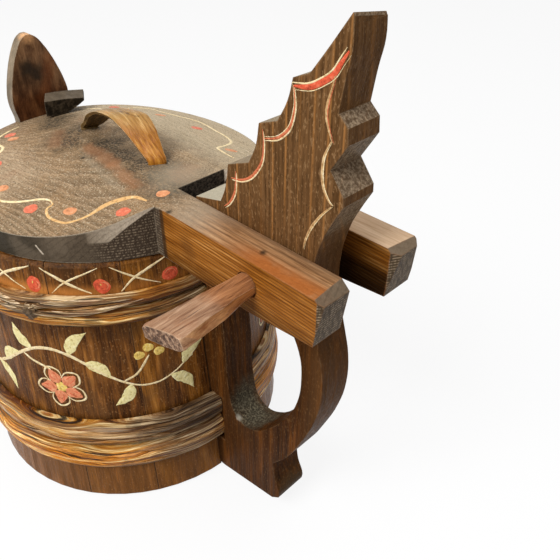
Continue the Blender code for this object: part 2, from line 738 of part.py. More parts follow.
clear_scene()
PARTS = new_collection(OBJECT_NAME)
CUTTERS = new_collection("cutters")
ROOT = new_empty("tankard_root", ((front_reach() - ARM_END_X) / 2, -VESSEL_Y, 0), None)
VESSEL_AXIS = new_empty("vessel_axis", (0, VESSEL_Y, 0), ROOT)
LID_AXIS = new_empty("lid_hinge_axis", (PIN_X, 0, PIN_Z), ROOT)
PIN_AXIS = new_empty("pin_pull_axis", (PIN_X, 0, PIN_Z), ROOT)
KEY_PLACE = Vector((TONGUE_INNER_X, KEY_Y, KEY_Z))
KEY_AXIS = new_empty("key_pull_axis", KEY_PLACE - LID_AXIS.location, LID_AXIS)
AXIS_OF = {
    ROOT.name: Vector((0, 0, 0)),
    VESSEL_AXIS.name: Vector((0, 0, 0)),
    LID_AXIS.name: LID_AXIS.location.copy(),
    PIN_AXIS.name: PIN_AXIS.location.copy(),
    KEY_AXIS.name: KEY_PLACE,
}

make_staves()
make_bottom()
make_hoops()
make_handle_board()
make_lid()
make_strap()
make_tongue()
make_key()
make_pin()
shade_parts()
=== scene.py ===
"""Looks of the wooden tankard: stained woods, split-withy hoops, painted borders and studio light.

Metres, +Z up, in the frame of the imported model.  The handle points to +X.
Colours are written as 8-bit screen values: red, green, blue.
"""

from collections import defaultdict
from math import atan2, copysign, cos, exp, hypot, pi, sin, tau

import bmesh
import bpy
from mathutils import Matrix, Vector, noise
from mathutils.bvhtree import BVHTree


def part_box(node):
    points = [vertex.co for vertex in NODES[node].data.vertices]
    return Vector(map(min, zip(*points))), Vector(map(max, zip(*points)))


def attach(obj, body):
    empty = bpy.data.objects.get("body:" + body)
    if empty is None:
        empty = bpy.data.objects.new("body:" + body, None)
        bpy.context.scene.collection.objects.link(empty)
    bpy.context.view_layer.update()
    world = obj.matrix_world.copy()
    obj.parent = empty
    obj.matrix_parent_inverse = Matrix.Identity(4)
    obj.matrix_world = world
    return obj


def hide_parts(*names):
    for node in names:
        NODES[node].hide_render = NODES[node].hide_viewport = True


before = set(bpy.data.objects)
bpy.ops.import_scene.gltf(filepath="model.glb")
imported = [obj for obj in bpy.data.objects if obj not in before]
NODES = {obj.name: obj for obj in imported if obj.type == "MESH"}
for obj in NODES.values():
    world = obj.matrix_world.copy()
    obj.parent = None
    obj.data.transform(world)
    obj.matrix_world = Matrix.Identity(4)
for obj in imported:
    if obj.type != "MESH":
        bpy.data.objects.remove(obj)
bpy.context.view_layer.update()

# Vessel: its axis stands at (VESSEL_X, 0), and the handle board's middle lies at BOARD_Y
VESSEL_X = sum(corner.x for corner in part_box("bottom_disc")) / 2
BOARD_Y = 0.0025
ORIGIN = Vector((VESSEL_X, BOARD_Y, 0.0))
BASE_RADIUS = 0.0915
RIM_RADIUS = 0.0803
BODY_HEIGHT = 0.1566
STAVES = [f"stave_{number:02d}" for number in range(1, 15)]
FOOT_CHAMFER = 0.0015
SEAM_ANGLE = 0.0042             # gap between two staves
WRAP_RADIUS = 0.0850            # radius at which lengths round the vessel are measured
LID_TOP = 0.1836
HINGE_X = VESSEL_X + 0.1368
HINGE_Z = 0.1705

# Camera, matched to the edges in the photograph
CAMERA_PLACE = Vector((0.244539, -0.154853, 0.319096))
CAMERA_RIGHT = Vector((0.7107924, 0.7033701, 0.0066798))
CAMERA_UP = Vector((-0.4212571, 0.4180589, 0.8048411))
CAMERA_LENS = 40.125
SENSOR_WIDTH = 36.0


def linear(colour):
    """A colour in screen values as shaders take it.  A socket stays as it is."""
    if not isinstance(colour, tuple):
        return colour
    shares = [value / 255 for value in colour]
    levels = [share / 12.92 if share <= 0.04045 else ((share + 0.055) / 1.055) ** 2.4 for share in shares]
    return (*levels, 1.0)


def smooth_step(value, low, high):
    share = min(1.0, max(0.0, (value - low) / (high - low)))
    return share * share * (3 - 2 * share)


def uneven(place, rise):
    """Smooth noise at a place moved up by a rise, about -1 to 1."""
    return noise.noise(place + Vector((0, 0, rise)))


def feed(tree, socket, value):
    """Link a socket to another one, or set its value."""
    if isinstance(value, bpy.types.NodeSocket):
        tree.links.new(value, socket)
    else:
        socket.default_value = value


def add_node(tree, kind, inputs, output=0, **settings):
    """Add a node, feed its inputs and return one of its outputs."""
    node = tree.nodes.new(kind)
    for key, value in settings.items():
        setattr(node, key, value)
    for key, value in inputs.items():
        feed(tree, node.inputs[key], value)
    return node.outputs[output]


# Materials

class Look:
    """A procedural material.  Each method adds nodes and returns the socket with the result."""

    def __init__(self, name, specular):
        self.material = bpy.data.materials.new(name)
        self.material.use_nodes = True
        self.tree = self.material.node_tree
        self.shader = self.tree.nodes["Principled BSDF"]
        self.shader.inputs["Specular IOR Level"].default_value = specular
        self.place = self.add("ShaderNodeTexCoord", {}, "Object")
        self.x, self.y, self.z = self.split(self.place)
        self.world_normal = self.add("ShaderNodeNewGeometry", {}, "Normal")
        flat_normal = self.add("ShaderNodeNewGeometry", {}, "True Normal")
        facing = self.add("ShaderNodeVectorTransform", {"Vector": flat_normal},
                          vector_type="NORMAL", convert_from="WORLD", convert_to="OBJECT")
        self.facing_x, self.facing_y, self.facing_z = self.split(facing)

    def add(self, kind, inputs, output=0, **settings):
        return add_node(self.tree, kind, inputs, output, **settings)

    def split(self, vector):
        node = self.tree.nodes.new("ShaderNodeSeparateXYZ")
        feed(self.tree, node.inputs[0], vector)
        return list(node.outputs)

    def join(self, x, y, z):
        return self.add("ShaderNodeCombineXYZ", {0: x, 1: y, 2: z})

    def math(self, operation, *values, clamp=False):
        return self.add("ShaderNodeMath", dict(enumerate(values)), operation=operation, use_clamp=clamp)

    def vector(self, operation, *values, output=0):
        return self.add("ShaderNodeVectorMath", dict(enumerate(values)), output, operation=operation)

    def chain(self, operation, values):
        """One sum, product or maximum of several values."""
        result = values[0]
        for value in values[1:]:
            result = self.math(operation, result, value)
        return result

    def times(self, *values):
        return self.chain("MULTIPLY", values)

    def plus(self, *values):
        return self.chain("ADD", values)

    def larger(self, *values):
        return self.chain("MAXIMUM", values)

    def spread(self, value, low, high, new_low=0.0, new_high=1.0, smooth=True):
        """A value moved from one range to another: by default 0 at the low end and 1 at the high end."""
        inputs = {0: value, 1: low, 2: high, 3: new_low, 4: new_high}
        kind = "SMOOTHSTEP" if smooth else "LINEAR"
        return self.add("ShaderNodeMapRange", inputs, interpolation_type=kind, clamp=True)

    def where(self, **ranges):
        """1 where every coordinate or direction named is past its range, 0 before the start of one."""
        return self.times(*[self.spread(getattr(self, name), *ends) for name, ends in ranges.items()])

    def noise(self, scale, shift=(0, 0, 0), detail=3.0, roughness=0.55, place=None):
        """Noise over the piece's coordinates, or others given, with one scale or one for each axis."""
        if isinstance(scale, (int, float)):
            scale = (scale, scale, scale)
        vector = self.vector("MULTIPLY_ADD", place or self.place, scale, shift)
        inputs = {"Vector": vector, "Scale": 1.0, "Detail": detail, "Roughness": roughness}
        return self.add("ShaderNodeTexNoise", inputs)

    def grains(self, scale, low, high, shift=(0, 0, 0), detail=4.0, roughness=0.55, place=None):
        """Specks and blotches: 0 below the low level of a noise, 1 above the high one."""
        return self.spread(self.noise(scale, shift, detail, roughness, place), low, high)

    def patches(self, size, low, high, seed=0.0):
        """Irregular patches of about one size."""
        return self.grains(1.0 / size, low, high, (seed, 1.3 * seed, 0.7 * seed))

    def fibres(self, grain, width, seed, reach=28.0):
        """Noise in streaks of about one width, drawn out along the grain."""
        scale = [1.0 / width] * 3
        scale["XYZ".index(grain)] = 1.0 / (reach * width)
        return self.noise(scale, (seed, 2.3 * seed, 3.1 * seed), detail=4.0, roughness=0.6)

    def streaks(self, grain, width, seed, low, high, reach=28.0):
        """Single streaks along the grain."""
        return self.spread(self.fibres(grain, width, seed, reach), low, high)

    def wood(self, grain, width, seed, reach=28.0):
        """Broad and fine streaks together, spread over 0 to 1."""
        broad = self.fibres(grain, width, seed, reach)
        fine = self.fibres(grain, 0.28 * width, seed + 5.0, 2 * reach)
        value = self.plus(self.times(broad, 0.58), self.times(fine, 0.42))
        return self.spread(value, 0.37, 0.63, smooth=False)

    def growth_lines(self, across, spacing, wobble, grain, seed, sharpness=2.0):
        """Lines of growth rings across the grain, 0 to 1."""
        slow = [6.0, 6.0, 6.0]
        slow["XYZ".index(grain)] = 1.6
        bend = self.noise(slow, (seed, 1.7 * seed, 0.6 * seed), detail=2.0)
        drift = self.noise([4 * value for value in slow], (2 * seed, seed, seed), detail=2.0)
        count = self.math("MULTIPLY_ADD", across, 1.0 / spacing, self.times(bend, wobble))
        count = self.plus(count, self.times(drift, 0.25 * wobble))
        wave = self.math("SINE", self.times(count, tau))
        return self.math("POWER", self.math("MULTIPLY_ADD", wave, 0.5, 0.5), sharpness)

    def rings(self, pith, tilt, spacing, wobble, seed):
        """Growth rings about a pith that runs along X with a slope: soft rise to late wood, sharp fall."""
        px, py, pz = pith
        sideways = self.plus(self.y, -py)
        upward = self.math("MULTIPLY_ADD", self.x, tilt, self.plus(self.z, -pz - tilt * px))
        radius = self.math("SQRT", self.math("MULTIPLY_ADD", sideways, sideways, self.times(upward, upward)))
        bend = self.noise((9, 26, 26), (seed, seed, 2 * seed))
        bent_radius = self.math("MULTIPLY_ADD", bend, wobble, radius)
        part = self.math("FRACT", self.math("MULTIPLY_ADD", bent_radius, 1.0 / spacing, 20.0))
        return self.times(self.spread(part, 0.0, 0.8), self.spread(part, 1.0, 0.86))

    def near(self, distance, radius, ragged, scale, core):
        """1 within a share of the radius, falling to 0 at the radius, with a ragged border."""
        border = self.times(self.plus(self.noise(scale, detail=4.0), -0.5), ragged)
        return self.spread(self.plus(distance, border), radius, core * radius)

    def blob(self, centre, radius, ragged, scale=120.0):
        """A spot about a point on the piece."""
        distance = self.vector("DISTANCE", self.place, centre, output=1)
        return self.near(distance, radius, ragged, scale, 0.15)

    def line(self, start, end, radius, ragged, scale=150.0):
        """A mark along a straight line on the piece."""
        start = Vector(start)
        run = Vector(end) - start
        shifted = self.vector("SUBTRACT", self.place, start)
        along = self.vector("DOT_PRODUCT", shifted, run / run.length_squared, output=1)
        foot = self.vector("MULTIPLY", run, self.math("MULTIPLY", along, 1.0, clamp=True))
        return self.near(self.vector("DISTANCE", shifted, foot, output=1), radius, ragged, scale, 0.1)

    def beyond(self, point, direction, soft=0.0002):
        """1 on the outer side of a plane."""
        shifted = self.vector("SUBTRACT", self.place, point)
        distance = self.vector("DOT_PRODUCT", shifted, Vector(direction).normalized(), output=1)
        return self.spread(distance, -soft, soft)

    def rounded(self, radius):
        return self.add("ShaderNodeBevel", {"Radius": radius}, samples=4)

    def edges(self, radius):
        """1 on the edges of the piece."""
        likeness = self.vector("DOT_PRODUCT", self.rounded(radius), self.world_normal, output=1)
        return self.spread(likeness, 0.99, 0.80)

    def mix(self, share, first, second, blend="MIX"):
        inputs = {0: share, 6: linear(first), 7: linear(second)}
        return self.add("ShaderNodeMix", inputs, 2, data_type="RGBA", blend_type=blend)

    def tones(self, value, *colours):
        """Evenly spaced colours as the value goes from 0 to 1."""
        node = self.tree.nodes.new("ShaderNodeValToRGB")
        feed(self.tree, node.inputs[0], value)
        elements = node.color_ramp.elements
        while len(elements) < len(colours):
            elements.new(0.5)
        for index, (element, colour) in enumerate(zip(elements, colours)):
            element.position = index / (len(colours) - 1)
            element.color = linear(colour)
        return node.outputs[0]

    def coat(self, value, *colours):
        return Coat(self, self.tones(value, *colours))

    def finish(self, coat, roughness, height, depth, round_edges=0.0006):
        feed(self.tree, self.shader.inputs["Base Color"], coat.colour)
        feed(self.tree, self.shader.inputs["Roughness"], roughness)
        inputs = {"Height": height, "Strength": 1.0, "Distance": depth}
        if round_edges:
            inputs["Normal"] = self.rounded(round_edges)
        feed(self.tree, self.shader.inputs["Normal"], self.add("ShaderNodeBump", inputs))
        return self.material


class Coat:
    """The colour of a surface, built up in layers."""

    def __init__(self, look, colour):
        self.look = look
        self.colour = colour

    def lay(self, paint, *shares):
        """Lay a colour over the others.  Its strength is the product of the shares."""
        self.colour = self.look.mix(self.look.times(*shares), self.colour, paint)

    def dim(self, level, share=1.0):
        """Darken or lighten the colour to a level of itself where the share is 1."""
        grey = self.look.spread(share, 0.0, 1.0, 1.0, level, smooth=False)
        self.colour = self.look.mix(1.0, self.colour, self.look.join(grey, grey, grey), blend="MULTIPLY")


def stave_look(number, amber):
    """Dark varnished stave: upright streaks with an amber share, bare wood on the inside, and painted shade
    under the lid and by the hoops.
    """
    look = Look(f"stave_wood_{number:02d}", specular=0.06)
    seed = 3.7 * number
    value = look.wood("Z", 0.0036, seed, reach=18.0)
    coat = look.coat(value, (48, 24, 6), (85, 49, 17), (113, 69, 28), (148, 95, 44))
    rarity = 0.62 - 0.24 * amber
    broad = look.streaks("Z", 0.0120, seed + 9.0, rarity, rarity + 0.14, reach=10.0)
    coat.lay(look.tones(value, (84, 46, 8), (122, 74, 22), (148, 94, 34), (184, 124, 56)), broad)
    fleck = look.streaks("Z", 0.0019, seed + 11.0, 0.60, 0.70)
    coat.lay((176, 104, 42), fleck, 0.45)
    split = look.streaks("Z", 0.0011, seed + 17.0, 0.39, 0.32, reach=50.0)
    coat.lay((26, 14, 5), split, 0.7)
    smoke = look.patches(0.030, 0.48, 0.64, seed)
    coat.lay((86, 60, 36), smoke, 0.45)
    pitted = look.grains((1000, 1000, 700), 0.58, 0.67, (seed, 0, 0))
    coat.lay((176, 128, 78), pitted, 0.5)
    foot = look.where(z=(0.040, 0.020))
    coat.lay((142, 92, 42), foot, 0.4)
    varnish = look.times(look.where(z=(0.1375, 0.1405)), look.where(z=(0.1475, 0.1415)))
    worn_off = look.spread(look.x, 0.036, 0.006, 0.35, 1.0)
    coat.lay((190, 122, 58), varnish, worn_off, look.patches(0.016, 0.26, 0.50, 2.0))
    # painted shade: darker under the lid, just under the upper hoop and behind the lower hoop
    painted_shade = look.larger(look.where(z=(0.1490, 0.1566)), look.where(z=(0.1240, 0.1180)))
    painted_shade = look.times(painted_shade, look.where(z=(0.1100, 0.1180)))
    painted_shade = look.larger(painted_shade, look.where(z=(0.0660, 0.0615)))
    coat.dim(0.68, look.times(painted_shade, look.where(z=(0.0260, 0.0275))))
    outward = look.math("MULTIPLY_ADD", look.facing_x, look.plus(look.x, -VESSEL_X),
                        look.times(look.facing_y, look.y))
    inside = look.spread(outward, 0.0, -0.02)
    coat.lay(look.tones(value, (92, 66, 42), (124, 94, 62), (150, 116, 80)), inside)
    coat.lay((150, 108, 70), look.edges(0.0010), 0.4)
    height = look.plus(value, look.times(pitted, 0.5))
    return look.finish(coat, look.spread(value, 0.0, 1.0, 0.36, 0.22), height, 0.00025)


def seam_look():
    """Dark pitch."""
    look = Look("seam_pitch", specular=0.10)
    grit = look.noise((800, 800, 300))
    coat = look.coat(grit, (30, 18, 8), (56, 35, 18), (92, 62, 36))
    return look.finish(coat, look.spread(grit, 0.3, 0.7, 0.7, 0.5), grit, 0.0002, round_edges=0)


def bottom_look():
    """Bare bottom with drink stains."""
    look = Look("bottom_wood", specular=0.15)
    value = look.wood("X", 0.0040, 41.0)
    coat = look.coat(value, (88, 64, 42), (132, 100, 68), (164, 130, 92))
    coat.lay((70, 48, 32), look.patches(0.045, 0.45, 0.70, 3.0), 0.6)
    return look.finish(coat, look.spread(value, 0.0, 1.0, 0.7, 0.55), value, 0.0004)


def board_look():
    """Handle board: upright growth lines with thin orange late wood, darker in the grip."""
    look = Look("board_wood", specular=0.02)
    across = look.math("MULTIPLY_ADD", look.y, 0.6, look.x)
    value = look.wood("Z", 0.0020, 7.0, reach=16.0)
    coat = look.coat(value, (82, 56, 31), (100, 70, 41), (114, 81, 49), (130, 94, 58))
    late = look.times(look.growth_lines(across, 0.0066, 1.0, "Z", 8.0, sharpness=20.0),
                      look.streaks("Z", 0.0050, 13.0, 0.34, 0.56))
    coat.lay((180, 124, 68), late, 0.75)
    dark = look.growth_lines(across, 0.0024, 1.6, "Z", 17.0, sharpness=3.0)
    coat.lay((62, 41, 22), dark, 0.34)
    speck = look.grains((1300, 1300, 500), 0.57, 0.66, detail=3.0)
    coat.lay((168, 132, 92), speck, 0.45)
    pits = look.grains((1200, 1200, 420), 0.57, 0.66, (7, 7, 7), detail=3.0)
    coat.lay((44, 29, 15), pits, 0.45)
    coat.lay(grip_colour(look, speck), look.where(z=(0.200, 0.156)), 0.94)
    lay_board_faces(look, coat)
    scuffed = look.times(look.edges(0.0011), look.patches(0.006, 0.38, 0.60, 5.0))
    coat.lay((160, 128, 94), scuffed, look.spread(look.z, 0.10, 0.20, 0.35, 0.6))
    height = look.plus(look.times(value, 0.6), look.times(late, 0.3))
    return look.finish(coat, look.spread(value, 0.0, 1.0, 0.50, 0.36), height, 0.0004)


def grip_colour(look, speck):
    """Dark, handled wood with amber streaks, paler on the outside of the grip."""
    streak = look.wood("Z", 0.0044, 19.0, reach=14.0)
    coat = look.coat(streak, (36, 15, 2), (57, 30, 8), (70, 38, 11), (94, 53, 16))
    amber = look.streaks("Z", 0.0060, 27.0, 0.56, 0.70, reach=12.0)
    coat.lay((122, 70, 24), amber, 0.6)
    coat.lay((112, 78, 46), look.where(x=(0.110, 0.124)), 0.35)
    coat.lay((128, 92, 56), speck, 0.35)
    return coat.colour


def lay_board_faces(look, coat):
    """Soot in the finger hole, its paler grey partly a painted sheen, with a painted highlight on the hole's
    rim, a darker patch low on the heel, and pale sawn faces on the steps of the fin.
    """
    grit = look.noise(900, detail=4.0, roughness=0.65)
    inner = look.spread(look.math("ABSOLUTE", look.facing_y), 0.75, 0.45)
    # soot in the finger hole; its paler grey tones are partly a painted sheen
    smudge = look.larger(look.blob((0.0645, 0.0030, 0.0600), 0.019, ragged=0.012),
                       look.blob((0.0725, 0.0020, 0.0540), 0.018, ragged=0.012),
                       look.times(look.blob((0.0800, 0.0060, 0.0560), 0.012, ragged=0.010), 0.8))
    charcoal_and_sheen = look.tones(look.spread(grit, 0.30, 0.72), (52, 47, 38), (76, 70, 57), (126, 117, 95))
    coat.lay(charcoal_and_sheen, smudge, look.spread(inner, 0.0, 1.0, 0.10, 0.95))
    # painted highlight on the rounded near rim of the finger hole
    painted_glint = look.blob((0.0680, -0.0060, 0.0560), 0.0026, ragged=0.002, scale=500.0)
    coat.lay((206, 198, 180), painted_glint, 0.55)
    back = look.where(facing_x=(0.25, 0.7), z=(0.140, 0.190))
    coat.lay((104, 72, 44), back, 0.3)
    sloping = look.spread(look.math("ABSOLUTE", look.facing_z), 0.25, 0.5)
    notch = look.times(sloping, look.where(facing_x=(0.10, 0.3), z=(0.165, 0.180)))
    scorched = look.tones(look.spread(grit, 0.36, 0.64), (96, 79, 61), (130, 111, 90), (166, 146, 120))
    coat.lay(scorched, notch, 0.8)
    # darker patch low on the heel's edges
    heel = look.blob((0.0960, BOARD_Y, 0.0130), 0.024, ragged=0.008)
    coat.lay(look.tones(grit, (40, 30, 19), (100, 82, 59)), heel, inner, 0.85)
    upward = look.where(facing_z=(0.55, 0.80))
    step_top = look.where(z=(0.185, 0.200), facing_x=(0.15, -0.05))
    coat.lay(look.tones(grit, (104, 88, 66), (176, 160, 132)), upward, step_top, 0.8)
    ledge = look.where(x=(0.070, 0.064), z=(0.176, 0.182))
    coat.lay(look.tones(grit, (150, 140, 116), (214, 206, 184)), upward, ledge, 0.9)


def lid_look():
    """Lid: worn taupe top, charcoal rim, amber arm sides and grey sawn arm ends, with painted reflection,
    sheen, highlights and shade.
    """
    look = Look("lid_wood", specular=0.06)
    value = look.wood("X", 0.0015, 21.0, reach=14.0)
    rings = look.rings((-0.06, 0.008, 0.128), 0.16, 0.0019, 0.012, 23.0)
    grit = look.noise(720, detail=4.0, roughness=0.75)
    arm = look.where(x=(0.034, 0.066))
    top = look.mix(arm, lid_top_colour(look, value, rings, grit), arm_top_colour(look, value, grit))

    coat = Coat(look, rim_colour(look, grit))
    coat.lay(arm_side_colour(look), look.where(x=(0.0400, 0.0412)))
    weave = look.times(look.growth_lines(look.z, 0.0013, 0.6, "X", 31.0, sharpness=1.5),
                       look.grains((900, 900, 300), 0.40, 0.62, detail=2.0))
    arm_end = look.where(x=(0.118, 0.122))
    coat.lay(look.mix(weave, (78, 63, 46), (166, 144, 116)), look.where(facing_x=(0.20, 0.35)), arm_end)
    upward = look.where(facing_z=(0.50, 0.62))
    coat.lay(top, upward)
    bevel = look.times(upward, look.where(facing_z=(0.97, 0.90)))
    coat.lay(look.tones(grit, (80, 68, 54), (134, 118, 98)), bevel, arm_end, 0.9)
    under = look.where(facing_z=(-0.5, -0.7))
    coat.lay(look.tones(value, (84, 58, 36), (140, 104, 70)), under)

    scuffed = look.times(look.edges(0.0012), look.patches(0.009, 0.34, 0.58, 6.0))
    coat.lay(look.mix(arm, (172, 156, 134), (184, 126, 82)), scuffed, 0.55)
    for place, radius in (((-0.0290, -0.0183, 0.1813), 0.0016), ((0.0982, -0.0152, 0.1836), 0.0024),
                          ((0.0465, -0.0215, 0.1832), 0.0024)):
        hole = look.blob(place, radius, ragged=0.0014, scale=600.0)
        coat.lay((30, 24, 18), hole, 0.85)
    height = look.plus(look.times(value, 0.25), look.times(grit, 0.6), look.times(rings, -0.2))
    return look.finish(coat, look.spread(upward, 0.0, 1.0, 0.42, 0.55), height, 0.0004, round_edges=0.0009)


def lid_top_colour(look, value, rings, grit):
    """Worn olive-taupe top, its grey partly a painted reflection of the light overhead, darker round the
    strap and towards the key, with a rubbed reddish ridge and a painted sheen.
    """
    # base tones of the worn top; their pale grey is partly a painted reflection of the light overhead
    coat = look.coat(value, (126, 103, 75), (144, 119, 90), (155, 129, 99), (168, 142, 111))
    coat.lay((98, 77, 54), rings, 0.55)
    coat.lay((176, 136, 92), look.patches(0.034, 0.44, 0.62, 14.0), 0.25)
    far = look.where(y=(0.004, 0.046))
    coat.lay(look.tones(value, (192, 172, 140), (220, 202, 170)), far, 0.7)
    left = look.where(x=(-0.020, -0.050), y=(-0.026, -0.042))
    coat.lay(look.tones(value, (188, 160, 128), (220, 194, 160)), left, 0.35)
    speck = look.grains(1150, 0.52, 0.60, roughness=0.75)
    coat.lay((64, 51, 36), speck, 0.60)
    pale = look.grains(1100, 0.54, 0.62, (5, 5, 5), roughness=0.75)
    coat.lay((222, 206, 176), pale, 0.48)

    # darker smudges round the strap and towards the key
    places = (((-0.0600, 0.0010, LID_TOP), 0.019), ((-0.0600, -0.0090, LID_TOP), 0.022),
              ((-0.0500, -0.0135, 0.1820), 0.017), ((-0.0955, 0.0041, 0.1764), 0.017),
              ((-0.0870, -0.0050, 0.1774), 0.017), ((-0.0300, -0.0050, LID_TOP), 0.022),
              ((-0.0140, -0.0060, LID_TOP), 0.018), ((0.0016, -0.0049, LID_TOP), 0.019),
              ((0.0083, 0.0020, LID_TOP), 0.018), ((0.0180, -0.0080, LID_TOP), 0.020),
              ((0.0300, -0.0090, LID_TOP), 0.018))
    smudge = look.larger(*[look.blob(place, radius, ragged=0.016) for place, radius in places])
    coat.lay((54, 48, 39), smudge, look.spread(grit, 0.40, 0.58, 0.30, 1.0), 0.94)
    for start, end, width, share in (((-0.0345, -0.0106, 0.1831), (-0.0086, -0.0127, 0.1826), 0.0060, 0.50),
                                     ((-0.0086, -0.0127, 0.1826), (0.0140, -0.0168, 0.1817), 0.0052, 0.50),
                                     ((-0.0700, -0.0090, 0.1815), (-0.0560, -0.0200, 0.1810), 0.0070, 0.30)):
        rubbed = look.line(start, end, width, ragged=0.010)
        coat.lay(look.tones(grit, (118, 78, 50), (184, 128, 88)), rubbed, share)
    dust = look.blob((0.0235, 0.0010, LID_TOP), 0.022, ragged=0.014)
    coat.lay(look.tones(grit, (134, 120, 98), (186, 172, 148)), dust, 0.55)
    coat.lay((160, 108, 78), look.patches(0.030, 0.56, 0.74, 9.0), 0.18)
    # painted sheen beside the rubbed ridge
    painted_sheen = look.line((-0.0300, -0.0170, 0.182), (0.0100, -0.0230, 0.180), 0.0035, ragged=0.006)
    coat.lay((184, 172, 148), painted_sheen, 0.15)
    return coat.colour


def arm_top_colour(look, value, grit):
    """Tops of the lid's arms: brown grain, grey at the root from dust and a painted sheen, glowing behind,
    pale on the far arm.
    """
    coat = look.coat(value, (116, 80, 50), (152, 110, 72), (174, 130, 90), (194, 154, 112))
    along = look.growth_lines(look.y, 0.0030, 1.2, "X", 29.0, sharpness=3.0)
    coat.lay((92, 60, 36), along, 0.60)
    glow = look.where(x=(0.078, 0.104), y=(-0.0125, -0.0190))
    coat.lay(look.tones(grit, (136, 72, 30), (186, 114, 58)), glow, look.patches(0.012, 0.15, 0.50, 4.0))
    inner_edge = look.where(x=(0.052, 0.072), y=(-0.0125, -0.0070))
    coat.lay((108, 84, 62), inner_edge, 0.5)
    # grey at the root: dust, partly a painted sheen
    root = look.where(x=(0.082, 0.050), y=(0.006, -0.004))
    coat.lay(look.tones(grit, (128, 112, 92), (190, 174, 150)), root, 0.75)
    far_arm = look.where(y=(0.012, 0.018))
    coat.lay(look.tones(value, (212, 172, 134), (246, 214, 178)), far_arm, 0.8)
    return coat.colour


def arm_side_colour(look):
    """Sides of the lid's arms: amber with thin dark lines, darker low down, with a painted shadow on the far
    arm's inner side and painted shade in the corner at the root.
    """
    grain = look.wood("X", 0.0016, 33.0, reach=18.0)
    coat = look.coat(grain, (106, 58, 12), (146, 88, 28), (168, 106, 40), (200, 142, 76))
    across = look.plus(look.z, look.times(look.x, 0.03))
    coat.lay((78, 41, 10), look.growth_lines(across, 0.0015, 0.7, "X", 35.0), 0.62)
    knot = look.blob((0.0590, -0.0226, 0.1700), 0.0080, ragged=0.006)
    coat.lay((84, 48, 18), knot, 0.5)
    coat.dim(0.45, look.where(z=(0.1690, 0.1570)))
    # painted shadow of the fin and near arm on the far arm's inner side, near black low down
    painted_shadow = look.where(y=(0.014, 0.018), facing_y=(-0.3, -0.7))
    coat.dim(0.12, look.times(painted_shadow, look.where(z=(0.1790, 0.1680))))
    coat.dim(0.75, painted_shadow)
    # painted shade: a dark line in the corner where the arm meets the rim
    corner = look.where(x=(0.0440, 0.0422))
    coat.lay((44, 34, 24), corner, 0.85)
    return coat.colour


def rim_colour(look, grit):
    """Charcoal rim, smoother to the front, with a pale chiselled facet, hatched end grain by the arm and a
    pale top edge at the front, worn and partly a painted highlight.
    """
    coat = look.coat(look.where(x=(-0.012, 0.018)), (58, 51, 40), (72, 62, 49), (92, 79, 64))
    coarse = look.spread(grit, 0.42, 0.60)
    coat.lay((50, 43, 34), coarse, 0.35)
    coat.lay((124, 109, 91), look.patches(0.016, 0.46, 0.62, 8.0), 0.35)
    scratch = look.line((0.0031, -0.0647, 0.1650), (0.0052, -0.0634, 0.1609), 0.0006, 0.0006, scale=900.0)
    coat.lay((222, 208, 186), scratch, 0.8)
    hatch = look.times(look.growth_lines(look.z, 0.0014, 0.8, "X", 31.0, sharpness=1.5),
                       look.grains((1300, 1300, 500), 0.42, 0.62, detail=3.0))
    coat.lay(look.mix(hatch, (66, 54, 43), (138, 121, 100)), look.where(x=(0.0200, 0.0270)))
    planed = look.coat(look.where(x=(0.020, 0.034)), (138, 123, 104), (206, 190, 168))
    planed.lay((104, 92, 77), coarse, 0.3)
    facet = look.beyond((0.0262, 0.0, 0.1663), (-1.43, 0.0, 1.0))
    coat.lay(planed.colour, facet, look.where(x=(0.0205, 0.0225), z=(0.1665, 0.1680)))
    slot = look.where(facing_x=(0.80, 0.95), y=(-0.010, -0.008))
    coat.lay(look.tones(look.spread(grit, 0.36, 0.64), (36, 31, 26), (98, 88, 75)), slot)
    # pale worn top edge at the front of the rim, partly a painted highlight
    front = look.times(look.where(x=(-0.016, -0.004)), look.where(x=(0.028, 0.020)))
    worn_and_highlit_arris = look.times(look.edges(0.0009), front, look.where(facing_z=(0.6, 0.3)))
    coat.lay((226, 212, 188), worn_and_highlit_arris)
    return coat.colour


def tongue_look():
    """Front tongue: dark red-brown face with a sooty heart, pale worn edge and tip."""
    look = Look("tongue_wood", specular=0.10)
    mottle = look.grains((130, 130, 70), 0.34, 0.66, (2, 4, 6), detail=5.0, roughness=0.65)
    streak = look.wood("Z", 0.0030, 51.0, reach=8.0)
    value = look.plus(look.times(mottle, 0.65), look.times(streak, 0.35))
    coat = look.coat(value, (58, 34, 18), (98, 68, 45), (126, 91, 62), (158, 120, 84))
    heart = look.larger(look.blob((-0.1165, 0.0075, 0.1970), 0.0100, ragged=0.014),
                        look.blob((-0.1165, 0.0020, 0.2010), 0.0090, ragged=0.012))
    coat.lay((42, 34, 26), heart, 0.9)
    low = look.where(z=(0.196, 0.182))
    coat.lay(look.tones(value, (48, 20, 6), (78, 40, 17), (116, 66, 30)), low, 0.75)
    glow = look.line((-0.1165, 0.0170, 0.2040), (-0.1165, 0.0080, 0.1830), 0.0065, ragged=0.007)
    coat.lay((124, 68, 34), glow, 0.5)
    side = look.spread(look.math("ABSOLUTE", look.facing_x), 0.8, 0.5)
    coat.lay(look.tones(value, (104, 92, 74), (152, 137, 114)), side, 0.85)
    tip = look.blob((-0.1185, 0.0060, 0.2185), 0.0058, ragged=0.003, scale=500.0)
    coat.lay((228, 172, 118), tip, 0.9)
    coat.lay((190, 164, 132), look.edges(0.0009), look.patches(0.007, 0.42, 0.60, 7.0), 0.6)
    return look.finish(coat, look.spread(value, 0.0, 1.0, 0.42, 0.30), value, 0.0004)


